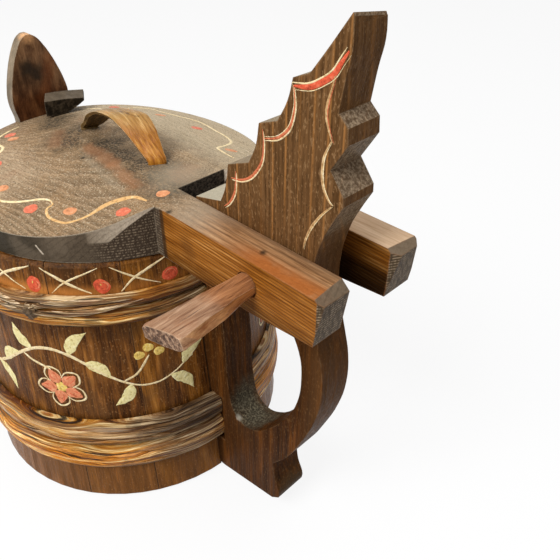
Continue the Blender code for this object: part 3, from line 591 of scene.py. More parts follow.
def key_look():
    """Rough charcoal key, paler on top."""
    look = Look("key_wood", specular=0.05)
    hewn = look.noise((180, 300, 300), detail=5.0, roughness=0.6)
    coat = look.coat(look.spread(hewn, 0.36, 0.66), (30, 24, 16), (46, 38, 28), (74, 63, 49))
    upward = look.where(facing_z=(0.4, 0.8))
    coat.lay(look.tones(hewn, (72, 62, 50), (124, 110, 92)), upward, 0.85)
    coat.lay((142, 126, 106), look.edges(0.0010), 0.5)
    return look.finish(coat, look.spread(hewn, 0.3, 0.7, 0.66, 0.50), hewn, 0.0008)


def pin_look():
    """Whittled pin: greyish brown, streaked along its length, with painted shade next to the arm and a dark
    rough end.
    """
    look = Look("pin_wood", specular=0.10)
    value = look.wood("Y", 0.0024, 61.0, reach=12.0)
    coat = look.coat(value, (126, 90, 66), (156, 118, 90), (176, 138, 108), (198, 162, 132))
    red = look.patches(0.012, 0.46, 0.62, 5.0)
    coat.lay((156, 104, 70), red, 0.4)
    cuts = look.streaks("Y", 0.0014, 66.0, 0.40, 0.33, reach=30.0)
    coat.lay((70, 42, 26), cuts, 0.65)
    below = look.where(facing_z=(0.55, 0.10))
    coat.lay(look.tones(value, (186, 112, 56), (252, 186, 116)), below, 0.8)
    # painted shade: darker, more orange wood next to the arm
    painted_shade_by_arm = look.where(y=(-0.0470, -0.0350))
    coat.lay(look.tones(value, (104, 56, 22), (190, 120, 62)), painted_shade_by_arm, 0.7)
    end = look.where(facing_y=(-0.6, -0.85))
    chips = look.noise(520, detail=5.0, roughness=0.7)
    coat.lay(look.tones(look.spread(chips, 0.36, 0.64), (62, 40, 28), (120, 88, 66), (186, 152, 124)), end)
    coat.lay((214, 180, 148), look.edges(0.0008), look.patches(0.006, 0.35, 0.60, 2.0))
    height = look.plus(look.times(value, 0.5), look.times(end, chips))
    return look.finish(coat, look.spread(value, 0.0, 1.0, 0.40, 0.28), height, 0.0006, round_edges=0.0004)


def strap_look():
    """Bent strap: olive and amber varnished withy with dark cracks and streaks along its run, painted shade
    underneath and pale edges that are partly a painted highlight.
    """
    look = Look("strap_withy", specular=0.16)
    streak = look.grains((60, 700, 130), 0.30, 0.70, (3, 1, 2), detail=5.0, roughness=0.65)
    coat = look.coat(streak, (138, 98, 44), (170, 126, 66), (186, 144, 86), (214, 178, 122))
    low_end = look.where(z=(0.2030, 0.1930), x=(-0.026, -0.008))
    coat.lay(look.tones(streak, (126, 68, 6), (154, 92, 14), (172, 108, 24), (196, 136, 52)), low_end, 0.9)
    rosy = look.patches(0.008, 0.50, 0.64, 11.0)
    coat.lay((188, 120, 62), rosy, 0.3)
    olive = look.patches(0.007, 0.36, 0.58, 4.0)
    coat.lay((126, 100, 54), olive, look.where(x=(-0.008, -0.030)), 0.6)
    for start, end in (((-0.0170, -0.0030, 0.2030), (-0.0080, 0.0100, 0.2020)),
                       ((-0.0230, 0.0010, 0.2030), (-0.0120, 0.0040, 0.2030)),
                       ((0.0000, -0.0040, 0.1890), (0.0030, -0.0030, 0.1860))):
        crack = look.line(start, end, 0.0012, ragged=0.0035, scale=420.0)
        coat.lay((84, 52, 16), crack, 0.75)
    # painted shade on the underside and inner faces of the strap
    under = look.where(facing_z=(-0.1, -0.5))
    coat.lay(look.tones(streak, (40, 27, 10), (104, 74, 36)), under, 0.85)
    foot = look.where(x=(-0.036, -0.048))
    coat.lay(look.tones(streak, (48, 36, 16), (110, 84, 44)), foot, 0.85)
    # pale worn edges, partly a painted highlight
    coat.lay((240, 208, 154), look.edges(0.0005), look.patches(0.006, 0.30, 0.55, 8.0))
    return look.finish(coat, look.spread(streak, 0.0, 1.0, 0.34, 0.22), streak, 0.0003, round_edges=0.0004)


def withy_look(name, seed, low, high, gold_share, grey_gloss_share, light):
    """Split withy: pale, gold and dark streaks that wander round the vessel, cracked along the run; its pale
    grey streaks are partly a painted gloss, its edges carry painted shade, and by the board its dark wood has
    painted highlights.
    """
    look = Look(name, specular=0.20)
    wander = look.noise((26, 26, 40), (seed, seed, 0), detail=1.0)
    z = look.math("MULTIPLY_ADD", look.plus(wander, -0.5), 0.0070, look.z)
    place = look.join(look.x, look.y, z)
    fine = look.noise((30, 30, 2100), (seed, 0, seed), detail=5.0, roughness=0.68, place=place)
    broad = look.noise((14, 14, 420), (0, seed, 2 * seed), place=place)
    both = look.plus(look.times(fine, 0.6), look.times(broad, 0.4))
    value = look.spread(both, 0.41, 0.59, smooth=False)
    coat = look.coat(value, (66, 36, 12), (152, 102, 52), (208, 158, 100), (252, 220, 168))
    rarity = 0.60 - 0.4 * gold_share
    gold = look.grains((16, 16, 150), rarity, rarity + 0.14, (seed, 3, 1), detail=3.0)
    coat.lay(look.tones(value, (98, 48, 3), (188, 110, 26), (234, 162, 68), (254, 216, 146)), gold)
    # pale grey streaks: partly weathered fibre, partly a painted gloss
    grey = look.grains((20, 20, 260), 0.55, 0.66, (seed, 8, 5), detail=3.0, place=place)
    coat.lay((222, 202, 174), grey, grey_gloss_share)
    crack = look.grains((20, 20, 620), 0.38, 0.33, (1, seed, 4), place=place)
    coat.lay((30, 16, 5), crack, 0.92)
    smudge = look.patches(0.016, 0.60, 0.70, seed)
    coat.lay((74, 52, 30), smudge, 0.45)
    coat.dim(light)
    # painted shade along the strand's lower edge, and more lightly along its upper edge
    reach = 0.30 * (high - low)
    ragged = look.plus(look.z, look.times(look.plus(broad, -0.5), reach))
    above = look.times(look.spread(ragged, high - reach, high), 0.6)
    painted_crevice_shade = look.larger(look.spread(ragged, low + reach, low), above)
    coat.dim(0.22, painted_crevice_shade)
    # dark wood by the handle board; its pale streaks are a painted highlight of its gloss
    dark_wood_and_painted_gloss = look.where(x=(0.030, 0.048), y=(0.0, -0.010))
    coat.lay(look.tones(value, (30, 21, 12), (92, 73, 51), (196, 176, 148)), dark_wood_and_painted_gloss, 0.75)
    height = look.math("SUBTRACT", look.times(value, 0.7), crack)
    return look.finish(coat, look.spread(value, 0.0, 1.0, 0.34, 0.18), height, 0.0012, round_edges=0)


def split_end_look():
    """Pale split ends of the upper hoop."""
    look = Look("pale_withy", specular=0.18)
    value = look.grains((45, 45, 1700), 0.36, 0.62, (6, 1, 2), roughness=0.62)
    coat = look.coat(value, (96, 64, 38), (176, 134, 88), (212, 176, 128), (240, 214, 176))
    rosy = look.patches(0.010, 0.50, 0.64, 3.0)
    coat.lay((168, 116, 80), rosy, 0.5)
    crack = look.grains((30, 30, 1000), 0.41, 0.34, (4, 2, 4))
    coat.lay((36, 23, 12), crack, 0.85)
    knot = look.blob(on_vessel(5.225, stave_radius(0.131) + 0.005, 0.1315), 0.0070, ragged=0.006, scale=400.0)
    coat.lay(look.tones(look.grains(700, 0.35, 0.65), (50, 38, 26), (138, 112, 82)), knot, 0.85)
    height = look.math("SUBTRACT", value, crack)
    return look.finish(coat, look.spread(value, 0.0, 1.0, 0.34, 0.22), height, 0.0009, round_edges=0)


def paint_look(name, tone, bright, dull):
    """Brushed paint, thick at the middle of a stroke and rubbed through in places."""
    look = Look(name, specular=0.20)
    brush = look.grains(620, 0.28, 0.72)
    coat = look.coat(brush, dull, tone, tone, bright)
    rubbed = look.patches(0.0036, 0.64, 0.74, 3.0)
    coat.lay(dull, rubbed, 0.4)
    return look.finish(coat, look.spread(brush, 0.0, 1.0, 0.55, 0.40), brush, 0.0002, round_edges=0)


def dress(name, material):
    """Give a CAD node its finished material."""
    slots = NODES[name].data.materials
    slots.clear()
    slots.append(material)


# Pieces

def add_object(name, data):
    made = bpy.data.objects.new(name, data)
    bpy.context.scene.collection.objects.link(made)
    return made


def add_piece(name, bm, body, material, replaces=None):
    """A new piece that rides on a body of the frame."""
    mesh = bpy.data.meshes.new(name)
    bm.to_mesh(mesh)
    bm.free()
    mesh.shade_smooth()
    mesh.set_sharp_from_angle(angle=0.6)
    mesh.materials.append(material)
    piece = add_object(name, mesh)
    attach(piece, body)
    if replaces:
        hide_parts(replaces)


def loft(bm, rings):
    """Skin closed rings of equal size and cap both ends."""
    made = [[bm.verts.new(point) for point in ring] for ring in rings]
    count = len(made[0])
    for first, second in zip(made, made[1:]):
        for step in range(count):
            after = (step + 1) % count
            bm.faces.new((first[step], first[after], second[after], second[step]))
    bm.faces.new(reversed(made[0]))
    bm.faces.new(made[-1])
    bmesh.ops.recalc_face_normals(bm, faces=bm.faces)


def curve_through(points, step, straight_ends=False):
    """Even points on a smooth curve through the given 2-D points."""
    points = [Vector(point) for point in points]
    ends = [2 * points[0] - points[1], *points, 2 * points[-1] - points[-2]]
    dense = []
    for before, first, second, after in zip(ends, ends[1:], ends[2:], ends[3:]):
        count = max(2, round((second - first).length / (0.5 * step)))
        straight = straight_ends and (first == points[0] or second == points[-1])
        for index in range(count):
            t = index / count
            if straight:
                dense.append(first.lerp(second, t))
                continue
            slope_in = 0.5 * (second - before)
            slope_out = 0.5 * (after - first)
            dense.append((2 * t ** 3 - 3 * t ** 2 + 1) * first + (t ** 3 - 2 * t ** 2 + t) * slope_in
                         + (3 * t ** 2 - 2 * t ** 3) * second + (t ** 3 - t ** 2) * slope_out)
    dense.append(points[-1].copy())
    even = [dense[0]]
    for point in dense[1:]:
        if (point - even[-1]).length >= step:
            even.append(point)
    if (dense[-1] - even[-1]).length > 0.2 * step:
        even.append(dense[-1])
    return even


def left_of(line, index):
    """Unit vector to the left of a 2-D line at one of its points."""
    run = (line[min(index + 1, len(line) - 1)] - line[max(index - 1, 0)]).normalized()
    return Vector((-run.y, run.x))


def stave_radius(z):
    return BASE_RADIUS + (RIM_RADIUS - BASE_RADIUS) * z / BODY_HEIGHT


def on_vessel(angle, radius, z):
    return Vector((VESSEL_X + radius * cos(angle), radius * sin(angle), z))


def corner_angles(node):
    """Angles of a node's corners about the vessel's axis, from 0 to a full turn."""
    return [atan2(vertex.co.y, vertex.co.x - VESSEL_X) % tau for vertex in NODES[node].data.vertices]


def withy_rings(node, low, high, depth, seed, grooves, steps=300, points=26):
    """Sections of a split withy along its run: a lumpy half round with fibres and long cracks."""
    angles = corner_angles(node)
    start, end = min(angles), max(angles)
    middle = (low + high) / 2
    half = (high - low) / 2
    shoulder = 0.0008
    gap = 0.0003
    back_gap = 0.0002
    tuck_steps = 6
    rings = []
    for step in range(steps + 1):
        angle = start + (end - start) * step / steps
        run = Vector((6 * cos(angle), 6 * sin(angle), seed))
        tuck = smooth_step(step, 0, tuck_steps) * smooth_step(steps - step, 0, tuck_steps)
        ring = [on_vessel(angle, stave_radius(low) + back_gap, low)]
        for point in range(points + 1):
            turn = -pi / 2 + pi * point / points
            z = middle + half * sin(turn)
            lump = uneven(run, 0.9 * turn)
            fibre = uneven(1.3 * run, 5.5 * turn)
            ripple = uneven(5.0 * run, 2.6 * turn)
            swell = 0.86 + 0.07 * lump + 0.05 * fibre + 0.02 * ripple
            bulge = shoulder + (depth - shoulder) * max(0.0, cos(turn)) ** 0.8 * swell
            for place, width, cut, groove_seed in grooves:
                drift = 0.25 * uneven(0.5 * run, groove_seed)
                opened = smooth_step(uneven(0.7 * run, 3 * groove_seed), -0.25, 0.20)
                bulge -= cut * opened * tuck * exp(-((turn - place - drift) / width) ** 2)
            ring.append(on_vessel(angle, stave_radius(z) + gap + max(bulge, gap), z))
        ring.append(on_vessel(angle, stave_radius(high) + back_gap, high))
        rings.append(ring)
    return rings


def split_end_rings(points, lift, thick, wide, sides=16):
    """A strand's split end that lies over the hoop and tapers out, through (angle, height) points."""
    line = curve_through(points, 0.004)
    rings = []
    for index, (angle, z_middle) in enumerate(line):
        share = index / (len(line) - 1)
        swell = 0.04 + 0.96 * (1 - share) ** 0.75 * (0.62 + 0.50 * sin(pi * share))
        run = Vector((14 * cos(angle), 14 * sin(angle), 100 * wide))
        ring = []
        for side in range(sides):
            turn = tau * side / sides
            reach = swell * (1.0 + 0.22 * uneven(run, 1.6 * turn))
            z = z_middle + wide * reach * sin(turn)
            ring.append(on_vessel(angle, stave_radius(z) + lift + thick * reach * cos(turn), z))
        rings.append(ring)
    return rings


def knot_rings(angle, z, lift, reach, steps=14, sides=18):
    """Lumpy knot where the upper hoop's ends are twisted together."""
    rings = []
    for step in range(1, steps):
        tilt = pi * step / steps
        ring = []
        for side in range(sides):
            turn = tau * side / sides
            bump = 1.0 + 0.42 * noise.noise(Vector((2.2 * cos(turn), 2.2 * sin(turn), 2.4 * cos(tilt))))
            run = reach * bump * cos(tilt)
            rise = 1.25 * reach * bump * sin(tilt) * sin(turn)
            out = 0.50 * reach * bump * sin(tilt) * cos(turn)
            ring.append(on_vessel(angle + run / WRAP_RADIUS, stave_radius(z) + lift + out, z + rise))
        rings.append(ring)
    return rings


# Node, lowest and highest point, depth, seed, grooves, gold and grey shares, lightness.  The grey streaks are
# partly a painted gloss.
# A groove has its place across the strand, its width, its depth and a seed.
STRANDS = (
    ("lower_hoop_bottom_strand", 0.0275, 0.0442, 0.0055, 1.0,
     ((0.25, 0.10, 0.0014, 1.5), (-0.45, 0.09, 0.0012, 7.2), (0.75, 0.08, 0.0008, 4.7)), 0.85, 0.20, 1.70),
    ("lower_hoop_top_strand", 0.0448, 0.0615, 0.0055, 5.0,
     ((0.40, 0.12, 0.0013, 3.1), (-0.30, 0.10, 0.0016, 9.4), (-0.75, 0.08, 0.0010, 2.2)), 0.45, 0.35, 1.30),
    ("upper_hoop_bottom_strand", 0.1245, 0.1332, 0.0050, 9.0, ((0.15, 0.14, 0.0010, 4.4),), 1.10, 0.05, 1.05),
    ("upper_hoop_top_strand", 0.1337, 0.1405, 0.0042, 13.0, ((0.10, 0.16, 0.0011, 6.3),), 0.45, 0.25, 1.40),
)

# Middle line, lift over the staves, half thickness and half width
SPLIT_ENDS = (
    (((5.250, 0.1352), (5.36, 0.1378), (5.52, 0.1392), (5.80, 0.1390)), 0.0040, 0.0012, 0.0021),
    (((5.255, 0.1322), (5.40, 0.1330), (5.60, 0.1345), (5.86, 0.1380)), 0.0043, 0.0013, 0.0019),
    (((5.210, 0.1335), (5.08, 0.1362), (4.96, 0.1378), (4.80, 0.1385)), 0.0040, 0.0012, 0.0018),
    (((5.205, 0.1310), (5.10, 0.1322), (4.98, 0.1340), (4.84, 0.1352)), 0.0043, 0.0012, 0.0016),
)


def make_hoops():
    """Four split strands, which replace the even strands of the CAD, and the upper hoop's pale ends."""
    for node, low, high, depth, seed, grooves, gold, grey, light in STRANDS:
        bm = bmesh.new()
        loft(bm, withy_rings(node, low, high, depth, seed, grooves))
        material = withy_look(f"{node}_withy", seed, low, high, gold, grey, light)
        add_piece(node.replace("_strand", "_withy"), bm, "vessel", material, node)
    bm = bmesh.new()
    for points, lift, thick, wide in SPLIT_ENDS:
        loft(bm, split_end_rings(points, lift, thick, wide))
    loft(bm, knot_rings(angle=5.228, z=0.1325, lift=0.0044, reach=0.0034))
    add_piece("upper_hoop_split_ends", bm, "vessel", split_end_look())


def make_seams():
    """Dark pitch in the thin gaps between the staves."""
    heights = (0.0, FOOT_CHAMFER, 0.0150, 0.0500, 0.1000, 0.1400, 0.1560)
    sunk, depth = 0.0001, 0.004
    bm = bmesh.new()
    for node in STAVES:
        angles = corner_angles(node)
        if max(angles) - min(angles) > pi:
            angles = [angle - tau if angle > pi else angle for angle in angles]
        seam = max(angles)
        rows = []
        for z in heights:
            outer = stave_radius(z) - max(0.0, FOOT_CHAMFER - z) - sunk
            inner = outer - depth
            corners = ((outer, 0.02), (outer, 0.98), (inner, 0.98), (inner, 0.02))
            rows.append([on_vessel(seam + share * SEAM_ANGLE, radius, z) for radius, share in corners])
        loft(bm, rows)
    add_piece("seam_pitch", bm, "vessel", seam_look())


# Pin: y, half width, half height, share of the head's roll and drop, squareness
PIN_SECTIONS = (
    (0.0395, 0.0042, 0.0042, 0.0, 2.0), (0.0365, 0.00525, 0.00525, 0.0, 2.0),
    (-0.0246, 0.00525, 0.00525, 0.0, 2.0), (-0.0290, 0.0058, 0.0052, 0.15, 2.2),
    (-0.0346, 0.0068, 0.00515, 0.4, 2.6), (-0.0415, 0.0087, 0.0049, 0.6, 3.0),
    (-0.0486, 0.0105, 0.0046, 0.8, 3.4), (-0.0560, 0.0124, 0.0044, 0.9, 3.5),
    (-0.0625, 0.0141, 0.0042, 1.0, 3.6), (-0.0645, 0.0136, 0.0037, 1.0, 3.6),
)
PIN_CORNERS = (0.35, 0.95, 1.45, 2.15, 2.85, 3.50, 4.05, 4.75, 5.35, 5.95)
PIN_HEAD_ROLL = 0.349
PIN_HEAD_DROP = 0.002


def signed_power(value, power):
    return copysign(abs(value) ** power, value)


def make_pin():
    """Hinge pin whittled with flat knife cuts, in place of the CAD's even one."""
    rings = []
    for index, (y, wide, tall, headed, squareness) in enumerate(PIN_SECTIONS):
        roll = headed * PIN_HEAD_ROLL
        ring = []
        for side, turn in enumerate(PIN_CORNERS):
            sway = 0.16 * noise.noise(Vector((3.1 * side, 0.55 * index, 4.0))) * min(1.0, 4 * headed)
            shrink = 1.0 - 0.07 * headed * (0.5 + noise.noise(Vector((2.3 * side, 0.7 * index, 9.0))))
            if headed == 0.0:
                turn = tau * (side + 0.5) / len(PIN_CORNERS)
            turn += sway
            u = wide * shrink * signed_power(cos(turn), 2 / squareness)
            v = tall * shrink * signed_power(sin(turn), 2 / squareness)
            x = HINGE_X + u * cos(roll) - v * sin(roll)
            z = HINGE_Z - PIN_HEAD_DROP * headed + u * sin(roll) + v * cos(roll)
            ring.append(Vector((x, y, z)))
        rings.append(ring)
    bm = bmesh.new()
    loft(bm, rings)
    add_piece("whittled_pin", bm, "pin", pin_look(), "hinge_pin")


# Strap: its middle line in (x, z) from the vessel's axis, from its front mortise to its back one
STRAP_LINE = ((-0.0150, 0.1758), (-0.0150, 0.1843), (-0.0095, 0.1886), (-0.0022, 0.1945), (0.0080, 0.1993),
              (0.0165, 0.2010), (0.0242, 0.2012), (0.0286, 0.1997), (0.0336, 0.1965), (0.0388, 0.1920),
              (0.0442, 0.1871), (0.0468, 0.1843), (0.0468, 0.1758))
STRAP_WIDTH = 0.0157
STRAP_END_SHARE = 0.45          # width in the mortises
STRAP_SKEW = 0.60
STRAP_THICKNESS = 0.0024
STRAP_TAPER_RISE = 0.0185       # height over the lid at which it has its full width
STRAP_FOOT_SHIFT = -0.0005      # side shift in the mortises
STRAP_SHIFT = 0.0010            # what it gains on the way up
STRAP_SHIFT_RISE = 0.012        # height over the lid at which it has gained all of it


def make_strap():
    """Bent strap with a crowned outer face, in place of the CAD's even strip."""
    section = [(share, STRAP_THICKNESS * (0.5 - 0.40 * abs(share) ** 3.0))
               for share in (-1.0, -0.96, -0.75, -0.5, -0.25, 0.0, 0.25, 0.5, 0.75, 0.96, 1.0)]
    section += [(share, -0.5 * STRAP_THICKNESS) for share in (0.9, 0.45, 0.0, -0.45, -0.9)]
    line = curve_through(STRAP_LINE, 0.0012, straight_ends=True)
    rings = []
    for index, middle in enumerate(line):
        out = left_of(line, index)
        height = max(0.0, middle.y - LID_TOP)
        taper = min(1.0, height / STRAP_TAPER_RISE)
        half = 0.5 * STRAP_WIDTH * (STRAP_END_SHARE + (1 - STRAP_END_SHARE) * taper)
        half *= 1.0 + 0.03 * noise.noise(Vector((90 * middle.x, 90 * middle.y, 0)))
        sideways = STRAP_FOOT_SHIFT + STRAP_SHIFT * min(1.0, height / STRAP_SHIFT_RISE)
        ring = []
        for share, lift in section:
            x = middle.x + out.x * lift + STRAP_SKEW * half * share
            ring.append(ORIGIN + Vector((x, half * share + sideways, middle.y + out.y * lift)))
        rings.append(ring)
    bm = bmesh.new()
    loft(bm, rings)
    add_piece("bent_strap", bm, "lid", strap_look(), "lid_strap")


# Painted lines

def tree_of(names):
    """Search tree over the faces of some nodes."""
    points = []
    faces = []
    for name in names:
        mesh = NODES[name].data
        first = len(points)
        points.extend(vertex.co.copy() for vertex in mesh.vertices)
        faces.extend([first + index for index in polygon.vertices] for polygon in mesh.polygons)
    return BVHTree.FromPolygons(points, faces)


LID_TREE = tree_of(["lid"])
STAVE_TREE = tree_of(STAVES)
BOARD_TREE = tree_of(["handle_board"])
OUTSIDE = 0.3                   # where rays start, clear of the tankard
SEAM_DEPTH = 0.002              # a ray that goes deeper has missed the staves' outside


def on_lid(point):
    """Lid's top under a plan position."""
    return LID_TREE.ray_cast(Vector((point.x, point.y, OUTSIDE)), Vector((0, 0, -1)))[:2]


def on_body(point):
    """Outside of the staves at (length round the vessel, height)."""
    angle = point.x / WRAP_RADIUS
    out = Vector((cos(angle), sin(angle), 0))
    place = STAVE_TREE.ray_cast(on_vessel(angle, OUTSIDE, point.y), -out)[0]
    if place is None or hypot(place.x - VESSEL_X, place.y) < stave_radius(point.y) - SEAM_DEPTH:
        return on_vessel(angle, stave_radius(point.y), point.y), out
    slope = (BASE_RADIUS - RIM_RADIUS) / BODY_HEIGHT
    return place, Vector((out.x, out.y, slope)).normalized()


def on_board(point, side):
    """Near (-1) or far (1) face of the handle board at (x, z)."""
    outward = Vector((0, side, 0))
    place = BOARD_TREE.ray_cast(Vector((point.x, OUTSIDE * side, point.y)), -outward)[0]
    return place, outward


def on_near_side(point):
    return on_board(point, -1)


def on_far_side(point):
    return on_board(point, 1)


LIFT = 0.00007                  # paint's edge above the wood
BODY_OF_PAINT = 0.00016         # its thickness in the middle of a stroke
ACROSS = ((-1.0, 0.0), (-0.62, 0.8), (0.0, 1.0), (0.62, 0.8), (1.0, 0.0))
DAB_RINGS = ((0.45, 1.0), (0.80, 0.75), (1.0, 0.0))
DAB_CORNERS = 20


def even_width(share):
    return min(1.0, 0.35 + 5.0 * min(share, 1.0 - share))


def leaf_width(share):
    return max(0.03, sin(pi * share ** 0.75)) ** 1.1


def swelling_width(share):
    return 0.28 + 0.72 * sin(pi * share)


class Paints:
    """Brush work on one body, with one mesh for each colour.  The drape lays 2-D points on its surface."""

    def __init__(self, place, body, drape):
        self.place = place
        self.body = body
        self.drape = drape
        self.pots = defaultdict(bmesh.new)

    def lay(self, point, height):
        """A point of paint on the surface, or None beside it."""
        place, normal = self.drape(point)
        if place is None:
            return None
        return place + normal * (LIFT + BODY_OF_PAINT * height)

    def stroke(self, colour, points, width, shape=even_width, step=0.0011):
        """One brush stroke along 2-D points."""
        line = curve_through(points, step)
        rows = []
        for index, middle in enumerate(line):
            half = 0.5 * width * shape(index / (len(line) - 1))
            half *= 1.0 + 0.22 * noise.noise(Vector((420 * middle.x, 420 * middle.y, width * 900)))
            side = half * left_of(line, index)
            rows.append([self.lay(middle + side * share, height) for share, height in ACROSS])
        bm = self.pots[colour]
        made = [[bm.verts.new(point) for point in row] if all(row) else None for row in rows]
        for first, second in zip(made, made[1:]):
            if first and second:
                for index in range(len(ACROSS) - 1):
                    bm.faces.new((first[index], second[index], second[index + 1], first[index + 1]))

    def dab(self, colour, centre, wide, tall, turn=0.0, seed=0.0):
        """A round dab of paint with an uneven border."""
        centre = Vector(centre)
        bm = self.pots[colour]
        middle = bm.verts.new(self.lay(centre, 1.0))
        inner = None
        for share, height in DAB_RINGS:
            ring = []
            for step in range(DAB_CORNERS):
                angle = tau * step / DAB_CORNERS
                reach = share * (1.0 + 0.16 * noise.noise(Vector((1.6 * cos(angle), 1.6 * sin(angle), seed))))
                u = wide * reach * cos(angle)
                v = tall * reach * sin(angle)
                spot = centre + Vector((u * cos(turn) - v * sin(turn), u * sin(turn) + v * cos(turn)))
                ring.append(bm.verts.new(self.lay(spot, height)))
            for step in range(DAB_CORNERS):
                after = (step + 1) % DAB_CORNERS
                if inner is None:
                    bm.faces.new((middle, ring[step], ring[after]))
                else:
                    bm.faces.new((inner[step], ring[step], ring[after], inner[after]))
            inner = ring

    def finish(self):
        for colour, bm in self.pots.items():
            bmesh.ops.recalc_face_normals(bm, faces=bm.faces)
            add_piece(f"paint_{self.place}_{colour}", bm, self.body, PAINTS[colour])


def paint_lid():
    """Wavy border line with dots, all round the lid's top."""
    paints = Paints("lid", "lid", on_lid)
    near = ((-0.0660, -0.0615), (-0.0500, -0.0640), (-0.0347, -0.0617), (-0.0249, -0.0563),
            (-0.0177, -0.0495), (-0.0125, -0.0470), (-0.0085, -0.0478), (-0.0086, -0.0508),
            (-0.0052, -0.0529), (-0.0012, -0.0536), (0.0041, -0.0525), (0.0081, -0.0507),
            (0.0111, -0.0463), (0.0129, -0.0410), (0.0135, -0.0333), (0.0162, -0.0274),
            (0.0211, -0.0219), (0.0290, -0.0206))
    left = ((-0.0660, -0.0615), (-0.0740, -0.0560), (-0.0770, -0.0470), (-0.0800, -0.0395),
            (-0.0850, -0.0352), (-0.0930, -0.0350), (-0.1010, -0.0315), (-0.1058, -0.0230),
            (-0.1075, -0.0150))
    far_front = ((-0.1060, 0.0270), (-0.1000, 0.0330), (-0.0930, 0.0350), (-0.0900, 0.0430),
                 (-0.0905, 0.0540), (-0.0850, 0.0620), (-0.0760, 0.0630))
    far = ((-0.0760, 0.0630), (-0.0640, 0.0660), (-0.0540, 0.0705), (-0.0440, 0.0715), (-0.0300, 0.0690),
           (-0.0170, 0.0665), (-0.0070, 0.0615), (-0.0015, 0.0530), (0.0022, 0.0440), (0.0090, 0.0415),
           (0.0200, 0.0400))
    paints.stroke("cream", near[:7], 0.0015)
    paints.stroke("ochre", near[5:], 0.0013)
    paints.stroke("ochre", near[12:], 0.0026, swelling_width)
    paints.stroke("cream", left, 0.0017)
    paints.stroke("cream", far_front, 0.0015)
    paints.stroke("cream", far, 0.0017)
    red_dots = ((-0.0149, -0.0558), (0.0253, -0.0313), (-0.0690, -0.0470), (-0.0985, -0.0245),
                (-0.0985, 0.0440), (-0.0350, 0.0595))
    orange_dots = ((0.0026, -0.0453), (0.0312, -0.0133), (-0.0432, -0.0560), (-0.0905, -0.0265),
                   (0.0071, 0.0488), (-0.0660, 0.0560))
    for index, centre in enumerate(red_dots):
        paints.dab("rubbed_red", centre, 0.0036, 0.0030, 0.4, 2.0 * index)
    for index, centre in enumerate(orange_dots):
        paints.dab("orange", centre, 0.0034, 0.0025, 0.5, 2.0 * index + 1)
    paints.finish()


# Lines on the fin, in (x, z): along the steps in front, and down the back
SCALLOPS = (
    ((0.1264, 0.2641), (0.1241, 0.2607), (0.1212, 0.2562), (0.1173, 0.2530), (0.1111, 0.2495),
     (0.1040, 0.2481)),
    ((0.1040, 0.2484), (0.1045, 0.2458), (0.1048, 0.2411), (0.1033, 0.2346), (0.1005, 0.2305),
     (0.0960, 0.2271), (0.0900, 0.2252)),
    ((0.0890, 0.2285), (0.0895, 0.2236), (0.0891, 0.2176), (0.0872, 0.2129), (0.0825, 0.2070),
     (0.0766, 0.2034), (0.0705, 0.2022)),
    ((0.0733, 0.2061), (0.0733, 0.2014), (0.0722, 0.1957), (0.0688, 0.1901), (0.0655, 0.1872)),
)
BACK_LINES = (
    ((0.1216, 0.2556), (0.1208, 0.2520), (0.1194, 0.2473), (0.1188, 0.2422), (0.1202, 0.2375),
     (0.1220, 0.2335)),
    ((0.1216, 0.2339), (0.1191, 0.2283), (0.1183, 0.2225), (0.1191, 0.2164), (0.1217, 0.2121),
     (0.1236, 0.2106)),
    ((0.1236, 0.2103), (0.1184, 0.2040), (0.1139, 0.1964), (0.1116, 0.1902), (0.1111, 0.1868)),
)


def paint_board():
    """Double lines that follow the steps of the fin, on both faces."""
    paints = Paints("board", "vessel", on_near_side)
    for drape in (on_near_side, on_far_side):
        paints.drape = drape
        for index, line in enumerate(SCALLOPS):
            width = 0.0022 if index == 0 else 0.0013
            above = [Vector(point) + Vector((-0.35, 0.45)) * width for point in line]
            below = [Vector(point) + Vector((0.40, -0.50)) * width for point in line]
            paints.stroke("red" if index == 0 else "rust", line, width, swelling_width)
            paints.stroke("cream", below if index else above, 0.0006)
            if index < 2:
                paints.stroke("cream", above if index else below, 0.0004, swelling_width)
        for index, line in enumerate(BACK_LINES):
            beside = [Vector(point) + Vector((0.0006, 0.0002)) for point in line]
            paints.stroke("tan", line, 0.0012, swelling_width)
            paints.stroke("rust" if index == 0 else "cream", beside, 0.0005, swelling_width)
    paints.finish()


def paint_band():
    """Crossed strokes with dots under the lid."""
    paints = Paints("band", "vessel", on_body)
    degree = WRAP_RADIUS * tau / 360
    first, pitch = 28.5, 22.7
    dots = 15
    height = 0.1450
    for index in range(dots):
        start = (first + pitch * index) * degree
        sway = 0.0008 * noise.noise(Vector((index * 1.7, 0, 0)))
        centre = Vector((start, height + sway))
        turn = 0.9 * index
        paints.dab("red", centre, 0.0044, 0.0036, turn, index)
        hook = [centre + Vector((0.0030 * cos(turn + step), 0.0024 * sin(turn + step)))
                for step in (0.0, 0.9, 1.8, 2.7)]
        paints.stroke("coral", hook, 0.0011, swelling_width, 0.0006)
        paints.dab("yellow", centre + Vector((-0.0004, 0.0011)), 0.0015, 0.0008, turn, index)
        if index == dots - 1:
            break
        span = pitch * degree
        rising = ((start + 0.26 * span, 0.1412 + sway), (start + 0.50 * span, 0.1478),
                  (start + 0.98 * span, 0.1548))
        falling = ((start + 0.14 * span, 0.1546 - sway), (start + 0.52 * span, 0.1468),
                   (start + 0.84 * span, 0.1414))
        thick = 0.0015 if index % 2 else 0.0010
        paints.stroke("cream", rising, thick, swelling_width)
        paints.stroke("cream", falling, 0.0025 - thick, swelling_width)
    paints.finish()


def heading(angle):
    """Unit vectors along a direction and to its left."""
    return Vector((cos(angle), sin(angle))), Vector((-sin(angle), cos(angle)))


